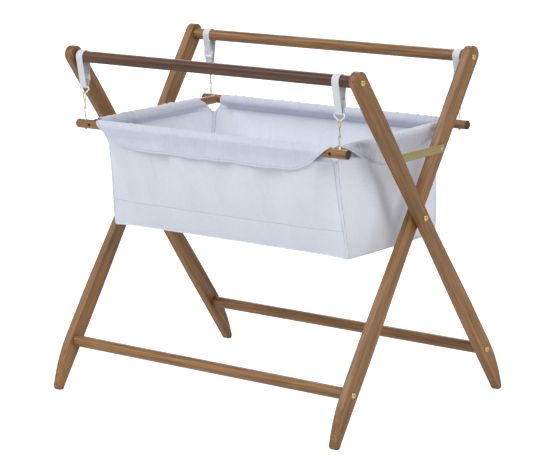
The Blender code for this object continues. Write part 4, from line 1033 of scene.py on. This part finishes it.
def corner_line(climb):
    """The corner seam at a share of its height, as x, y and z in the corner where all are positive:
    y leans out evenly, x draws in over the lower two thirds, and the foot droops."""
    return (BOTTOM_HALF_LENGTH + (CORNER_TOP_X - BOTTOM_HALF_LENGTH) * rise_share(climb, 0.05, 0.7),
            BOTTOM_HALF_WIDTH + (CORNER_TOP_Y - BOTTOM_HALF_WIDTH) * climb,
            BOTTOM_Z + (rod_z - SEW_DROP - BOTTOM_Z) * climb - CORNER_DROOP * (1 - climb) ** 3)


def bottom_drop(x_share, y_share):
    """How far the bottom seam hangs below its plane: most at the short ends and corners."""
    return (CORNER_DROOP + END_SAG * (1 - y_share ** 2)) * np.abs(x_share) ** 8


def long_shape(along, climb, up):
    """The long walls' own shape: faint upright folds, a belly, creases near one end, and the groove
    of the low seam."""
    shape = WALL_BELLY * np.sin(math.pi * climb)
    shape = shape + 0.014 * folds(along, up, 3, 12, 0.16, 0.018, 0.2) * climb ** 0.3
    for start, end, width, depth in (((-0.318, 0.60), (-0.275, 0.45), 0.006, 0.0026),
                                     ((-0.345, 0.61), (-0.335, 0.43), 0.007, -0.0022),
                                     ((-0.240, 0.50), (-0.195, 0.40), 0.006, 0.0012)):
        shape = shape + crease(along, up, start, end, width, depth)
    return shape - 0.0008 * np.exp(-((up - LOW_SEAM_Z) / 0.0024) ** 2)


def end_shape(along, climb, up):
    """The end walls' own shape: a swelling whose ridge runs down and back from the front corner,
    with a hollow behind it, and broad soft folds."""
    ridge = -0.135 + 0.085 * (1 - climb)
    off = along - ridge
    swelling = np.where(off < 0, np.exp(-(off / 0.095) ** 2), np.exp(-(off / 0.060) ** 2))
    hollow = np.exp(-((off - 0.115) / 0.055) ** 2)
    shape = (0.0150 * swelling - 0.0120 * hollow) * np.sin(math.pi * np.clip(climb * 0.86 + 0.10, 0, 1))
    return shape + 0.013 * folds(along, up, 23, 6, 0.18, 0.06) * climb ** 0.3


def add_thickness(panel):
    """Give a panel the cloth's thickness, half to each side."""
    cloth_wall = panel.modifiers.new("cloth_thickness", "SOLIDIFY")
    cloth_wall.thickness = CLOTH_THICK
    cloth_wall.offset = 0.0
    return panel


def side_panel(name, span, scoop, tuck, corner, own_shape, low_seam, seed, place, hem_tilt=0.0):
    """One side panel on a grid of (along the rod, along the section).

    On the wall each row runs from corner seam to corner seam and bends in to meet them. Above the
    stitch line it narrows to the casing's span, which leaves the keyhole at each corner. Past the
    rod's crest each column has its own length, down to the hem: the hem's height is level, and
    over each end it climbs to the crest as a power of the way from the scoop's start to the end.
    Round the casing the cloth puffs out between its gathers, square to its section.
    """
    path, length, (sewn, crest, out_sewn) = casing_section(tuck)
    share = np.linspace(-1, 1, COLUMNS)
    share = share * (1 - 0.10 * (1 - share ** 2))
    rows = np.concatenate([np.linspace(0, sewn, 66)[:-1], np.linspace(sewn, crest, 26)])
    climb = np.clip(rows / sewn, 0, 1)
    corner_x, corner_y, _ = corner_line(climb)
    wall_half, corner_out = (corner_x, corner_y - rod_y) if corner == "x" else (corner_y, corner_x - rod_x)
    narrow = np.clip((rows - sewn + KEYHOLE[0]) / sum(KEYHOLE), 0, 1) ** 2.4
    low = -wall_half + (span[0] + wall_half) * narrow
    high = wall_half + (span[1] - wall_half) * narrow
    along = low + (high - low) * (share[:, None] + 1) / 2
    stop = np.broadcast_to(rows, along.shape)

    edge = span[0] + (span[1] - span[0]) * (share + 1) / 2
    crest_z = rod_z + path[:, 1].max()
    hem_z = FLAP_HEM_Z + hem_tilt * rise_share(edge, -0.05, 0.03)
    for end, (start, ease), sign in zip(span, scoop, (-1, 1)):
        way = np.clip((sign * edge - start) / (abs(end) - start), 0, 1)
        hem_z = hem_z + (crest_z - 0.001 - hem_z) * way ** ease
    hem_z = hem_z + HEM_WAVE * folds(edge, 0.0, seed + 5, 6, 0.2, 0.05)
    fallen = slice(np.searchsorted(length, crest), None)
    below_crest = np.minimum(hem_z, crest_z - 0.0005)
    drop = np.interp(-below_crest, -(rod_z + path[fallen, 1]), length[fallen]) - crest
    down = np.linspace(0, 1, FLAP_ROWS + 1)[1:]
    along = np.concatenate([along, np.broadcast_to(edge[:, None], (COLUMNS, FLAP_ROWS))], 1)
    stop = np.concatenate([stop, crest + drop[:, None] * down], 1)
    out, up = (np.interp(stop, length, path[:, k]) for k in range(2))

    climb = np.clip(stop / sewn, 0, 1)
    half = np.interp(stop, rows, wall_half)
    across = np.clip(np.abs(along) / half, 0, 1)
    reach = np.minimum(span[1], -span[0]) - 0.03
    inner = half - (half - reach) * (1 + 1.6 * (1 - climb))
    bend = np.clip((np.abs(along) - inner) / (half - inner), 0, 1) ** 1.3
    bend = bend * (1 - rise_share(stop, sewn - KEYHOLE[0], sewn + 0.024))
    out = out + (np.interp(stop, rows, corner_out) - out) * bend
    on_wall, on_flap = stop < sewn, stop > crest
    quiet = (1 - across ** 6) * (1 - climb ** 8)
    out = out + np.where(on_wall, own_shape(along, climb, up + rod_z) * quiet, 0.0)
    ones = np.ones(across.shape)
    shares = (across, ones) if corner == "x" else (ones, across)
    up = up - np.where(on_wall, bottom_drop(*shares) * (1 - climb) ** 3, 0.0)

    loose = np.clip((stop - crest) / 0.055, 0, 1)
    ruffle = folds(along, 0.3 * stop, seed + 3, 9, 0.030, 0.0088, 0.6) * RUFFLE
    ruffle = ruffle * rise_share(stop, sewn - 0.006, sewn + 0.006)
    sway = folds(along, stop, seed + 1, 6, 0.16, 0.05) * SWAY * loose ** 1.5
    bunch = np.exp(-((along - span[1] + BUNCH_FROM_END) / BUNCH_REACH) ** 2)
    bunch = bunch * np.sin(math.pi * np.clip((stop - crest - 0.006) / 0.034, 0, 1)) ** 2
    pleat = np.sin(2 * math.pi * (along - 0.55 * (stop - crest)) / BUNCH_PITCH)
    puff = np.maximum(ruffle, 0.0) + bunch * pleat * BUNCH_HEIGHT
    normal_out, normal_up = np.gradient(up, axis=1), np.gradient(out, axis=1)
    size = np.maximum(np.hypot(normal_out, normal_up), 1e-9)
    out = out + puff * np.abs(normal_out) / size * np.where(on_flap, 1.0, -1.0) * (stop > sewn)
    out = out + (sway + 0.0004) * on_flap
    up = up + np.where((stop > sewn) & (stop < out_sewn), puff * np.abs(normal_up / size), 0.0)

    slope = np.gradient(hem_z, edge)
    hem_gap = (crest + drop[:, None] - stop) / np.sqrt(1 + slope[:, None] ** 2)
    hem_gap = np.where(on_flap, hem_gap, 1.0)
    out = out + on_flap * HEM_STEP * (1 - rise_share(hem_gap, HEM_WIDTH - 0.0009, HEM_WIDTH))
    cloth = np.stack([along, stop, np.full(along.shape, seed * 0.37)], -1)
    sew_gap = np.where(stop < crest, stop - sewn, 1.0)
    low_gap = np.where(on_wall & low_seam, up + rod_z - LOW_SEAM_Z, 1.0)
    corner_gap = np.where(on_wall, (1 - across) * half - CORNER_STITCH_IN, 1.0)
    low_gap = np.where(np.abs(corner_gap) < np.abs(low_gap), corner_gap, low_gap)
    seams = np.stack([hem_gap - HEM_WIDTH + HEM_STITCH_IN, sew_gap, low_gap], -1)
    # The gather mark rises from just below the stitch line to 1 over the casing and the flap; it leads the
    # crinkles there and also the painted shade on them.
    crinkle_and_shade_share = rise_share(stop, sewn - 0.012, sewn + 0.002)
    return add_thickness(lattice(name, place(along, out, up + rod_z),
                                 marks={"cloth": cloth, "seams": seams,
                                        "gather": np.repeat(crinkle_and_shade_share[..., None], 3, -1)}))


def long_place(side):
    """Where a long panel's points lie: along X, and out from the dowel in Y."""
    return lambda along, out, z: np.stack([along, side * (rod_y + out), z], -1)


def end_place(side):
    """Where an end panel's points lie: along Y, and out from the end rail in X."""
    return lambda along, out, z: np.stack([side * (rod_x + out), along, z], -1)


panels = {}
for name, side, seed in (("front", -1.0, 3), ("rear", 1.0, 11)):
    panels[name] = side_panel(f"bag_{name}_panel", LONG_SPAN, LONG_SCOOP, rod_y - BOTTOM_HALF_WIDTH,
                              "x", long_shape, True, seed, long_place(side))
for name, side, seed in (("right", 1.0, 23), ("left", -1.0, 31)):
    panels[name] = side_panel(f"bag_{name}_panel", END_SPAN, END_SCOOP, rod_x - BOTTOM_HALF_LENGTH,
                              "y", end_shape, False, seed, end_place(side), hem_tilt=0.011)


def bottom_panel():
    """The bottom: a grid over its oblong, which hangs to the same line as the walls' lower edges
    and sags a little under the board."""
    share = np.linspace(-1, 1, 141)
    x_share, y_share = np.meshgrid(share, share, indexing="ij")
    x, y = BOTTOM_HALF_LENGTH * x_share, BOTTOM_HALF_WIDTH * y_share
    edge = np.maximum(np.abs(x_share), np.abs(y_share))
    z = BOTTOM_Z - bottom_drop(x_share, y_share) - 0.0012 * (1 - edge ** 4)
    z = z - 0.002 * np.abs(folds(x, y, 47, 6, 0.3, 0.06)) * (1 - edge ** 6)
    cloth = np.stack([x, y, np.full(x.shape, 5.0)], -1)
    return add_thickness(lattice("bag_bottom_panel", np.stack([x, y, z], -1),
                                 marks={"cloth": cloth, "seams": np.ones(cloth.shape),
                                        "gather": np.zeros(cloth.shape)}))


panels["bottom"] = bottom_panel()


def piping(name, path, closed):
    """A round cord in a folded strip: a section carried along a path in space, kept square to it."""
    tangent = np.roll(path, -1, 0) - np.roll(path, 1, 0) if closed else np.gradient(path, axis=0)
    tangent /= np.linalg.norm(tangent, axis=1)[:, None]
    guide = np.array([0.0, 0.0, 1.0]) if closed else np.array([1.0, 0.0, 0.0])
    first = np.cross(tangent, guide)
    first /= np.linalg.norm(first, axis=1)[:, None]
    second = np.cross(tangent, first)
    angle = np.linspace(0, 2 * math.pi, 12, endpoint=False)
    radius = np.full(len(path), PIPING_RADIUS)
    if not closed:
        radius[[0, -1]] = 0.0
    points = path[:, None] + (radius[:, None] * np.cos(angle))[..., None] * first[:, None] \
        + (radius[:, None] * np.sin(angle))[..., None] * second[:, None]
    length = np.concatenate([[0.0], np.cumsum(np.linalg.norm(np.diff(path, axis=0), axis=1))])
    cloth = np.stack([np.broadcast_to(length[:, None], points.shape[:2]),
                      np.broadcast_to(angle * PIPING_RADIUS, points.shape[:2]),
                      np.full(points.shape[:2], 7.0)], -1)
    return lattice(name, points, close_rows=closed, close_columns=True,
                   marks={"cloth": cloth, "seams": np.ones(cloth.shape), "gather": np.zeros(cloth.shape)})


corner_pipes = []
corner_path = np.stack(corner_line(np.linspace(0, 1, 70)), 1)
for name, way_x, way_y in (("front_right", 1, -1), ("front_left", -1, -1), ("rear_right", 1, 1),
                           ("rear_left", -1, 1)):
    corner_pipes.append(piping(f"corner_{name}", corner_path * [way_x, way_y, 1], False))
bottom_loop = rounded_loop(BOTTOM_HALF_LENGTH + 0.0006, BOTTOM_HALF_WIDTH + 0.0006, 0.004)
edge_path, _ = even_steps(bottom_loop, 0.004)
edge_drop = bottom_drop(np.clip(edge_path[:, 0] / BOTTOM_HALF_LENGTH, -1, 1),
                        np.clip(edge_path[:, 1] / BOTTOM_HALF_WIDTH, -1, 1))
edge_path = np.concatenate([edge_path, (BOTTOM_Z - edge_drop)[:, None]], 1)
trim = gather("bag_piping", corner_pipes + [piping("bottom_pipe", edge_path, True)])
fit_piece(trim, "basket", cotton, "fabric")
for piece in panels.values():
    fit_piece(piece, "basket", cotton, "fabric", "fabric_bag")

# ---- corner tacks --------------------------------------------------------------------------------
# A small grey thread tack locks the top of each corner seam, just below the rod.
TACK_RADIUS = 0.0017
TACK_HALF_LENGTH = 0.0016

tack_finish = new_finish("grey_thread", Roughness=0.8)
mottle(tack_finish, (2500.0, 2500.0, 2500.0), (0.16, 0.16, 0.20, 1.0), (0.34, 0.34, 0.40, 1.0),
       mixed=(0.0, 1.0), detail=2.0)
for row, way_y in (("front", -1), ("rear", 1)):
    for hand, way_x in (("left", -1), ("right", 1)):
        spot = corner_path[-3] * [way_x, way_y, 1]
        path = spot + np.linspace(-TACK_HALF_LENGTH, TACK_HALF_LENGTH, 6)[:, None] * [0.0, 0.0, 1.0]
        tack = swept(f"{row}_{hand}_tack", path, TACK_RADIUS, (1, 0, 0), sides=12)
        fit_piece(tack, "basket", tack_finish, "fabric")

# ---- mattress ------------------------------------------------------------------------------------
# A foam mattress in a quilted white cover lies on the board. The quilting pulls the cover down
# along crossing diagonal lines, and the sides of the cover are faintly wavy.
MATTRESS_CORNER = 0.022
MATTRESS_EDGE = 0.011
QUILT_PITCH = 0.055
QUILT_DEPTH = 0.0022
QUILT_WIDTH = 0.007
SIDE_WAVE = 0.00036

ticking = new_finish("quilted_cover", Roughness=0.85, Sheen_Weight=0.2)
mottle(ticking, (40.0, 40.0, 40.0), (0.80, 0.80, 0.83, 1.0), (0.86, 0.86, 0.88, 1.0), detail=4.0)
ticking_place = add_node(ticking, "ShaderNodeTexCoord").outputs["Object"]
emboss(ticking, plain_weave(ticking, ticking_place, 0.0006), 0.3, 0.0002)


def make_mattress():
    """Rounded oblong sections along X, which narrow round the plan's corners and roll off at the
    ends. The top is crowned, and it sinks near each quilting line by a bell-shaped amount."""
    low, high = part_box("mattress")
    middle, half = (low + high) / 2, (high - low) / 2
    roll = np.linspace(-math.pi / 2, math.pi / 2, 14)[7:]
    ends = half.x - MATTRESS_EDGE * (1 - np.cos(roll))[::-1]
    stations = np.concatenate([-ends[::-1], np.linspace(-ends[0], ends[0], 220)[1:-1], ends])
    past_corner = np.clip(np.abs(stations) - (half.x - MATTRESS_CORNER), 0, MATTRESS_CORNER)
    narrow = half.y - MATTRESS_CORNER + np.sqrt(MATTRESS_CORNER ** 2 - past_corner ** 2)
    past_edge = np.clip(np.abs(stations) - (half.x - MATTRESS_EDGE), 0, MATTRESS_EDGE)
    shallow = half.z - MATTRESS_EDGE + np.sqrt(MATTRESS_EDGE ** 2 - past_edge ** 2)
    edge = np.minimum(MATTRESS_EDGE, 0.95 * np.minimum(narrow, shallow))
    loops = rounded_loop(narrow[:, None], shallow[:, None], edge[:, None], 8)
    step = np.linspace(0, 1, 72)[None, 1:-1, None]
    top, base = (loops[:, k:k + 1] + (loops[:, k + 1:k + 2] - loops[:, k:k + 1]) * step for k in (7, 23))
    section = np.concatenate([loops[:, :8], top, loops[:, 8:24], base, loops[:, 24:]], 1)
    section = np.concatenate([section[:1] * [1.0, 0.0], section, section[-1:] * [1.0, 0.0]])
    stations = np.concatenate([stations[:1], stations, stations[-1:]])
    x = np.broadcast_to(stations[:, None], section.shape[:2])
    y, z = section[..., 0], section[..., 1]
    on_top = rise_share(np.abs(z), half.z - 0.004, half.z - 0.0005) * np.sign(z)
    sink = np.zeros(x.shape)
    for way in ((x + y) / math.sqrt(2), (x - y) / math.sqrt(2)):
        off = (way / QUILT_PITCH + 0.5) % 1.0 - 0.5
        sink = np.maximum(sink, np.exp(-(off * QUILT_PITCH / QUILT_WIDTH * 1.6) ** 2))
    crown = 0.0015 * (1 - (y / half.y) ** 2) * (1 - (x / half.x) ** 2)
    z = z - on_top * (QUILT_DEPTH * sink - crown)
    y = y + np.sign(y) * (1 - np.abs(on_top)) * SIDE_WAVE * np.sin(x * 60)
    piece = lattice("mattress_cover", np.stack([middle.x + x, middle.y + y, middle.z + z], -1),
                    close_columns=True)
    fit_piece(piece, "basket", ticking, "mattress_cover", "mattress")


make_mattress()
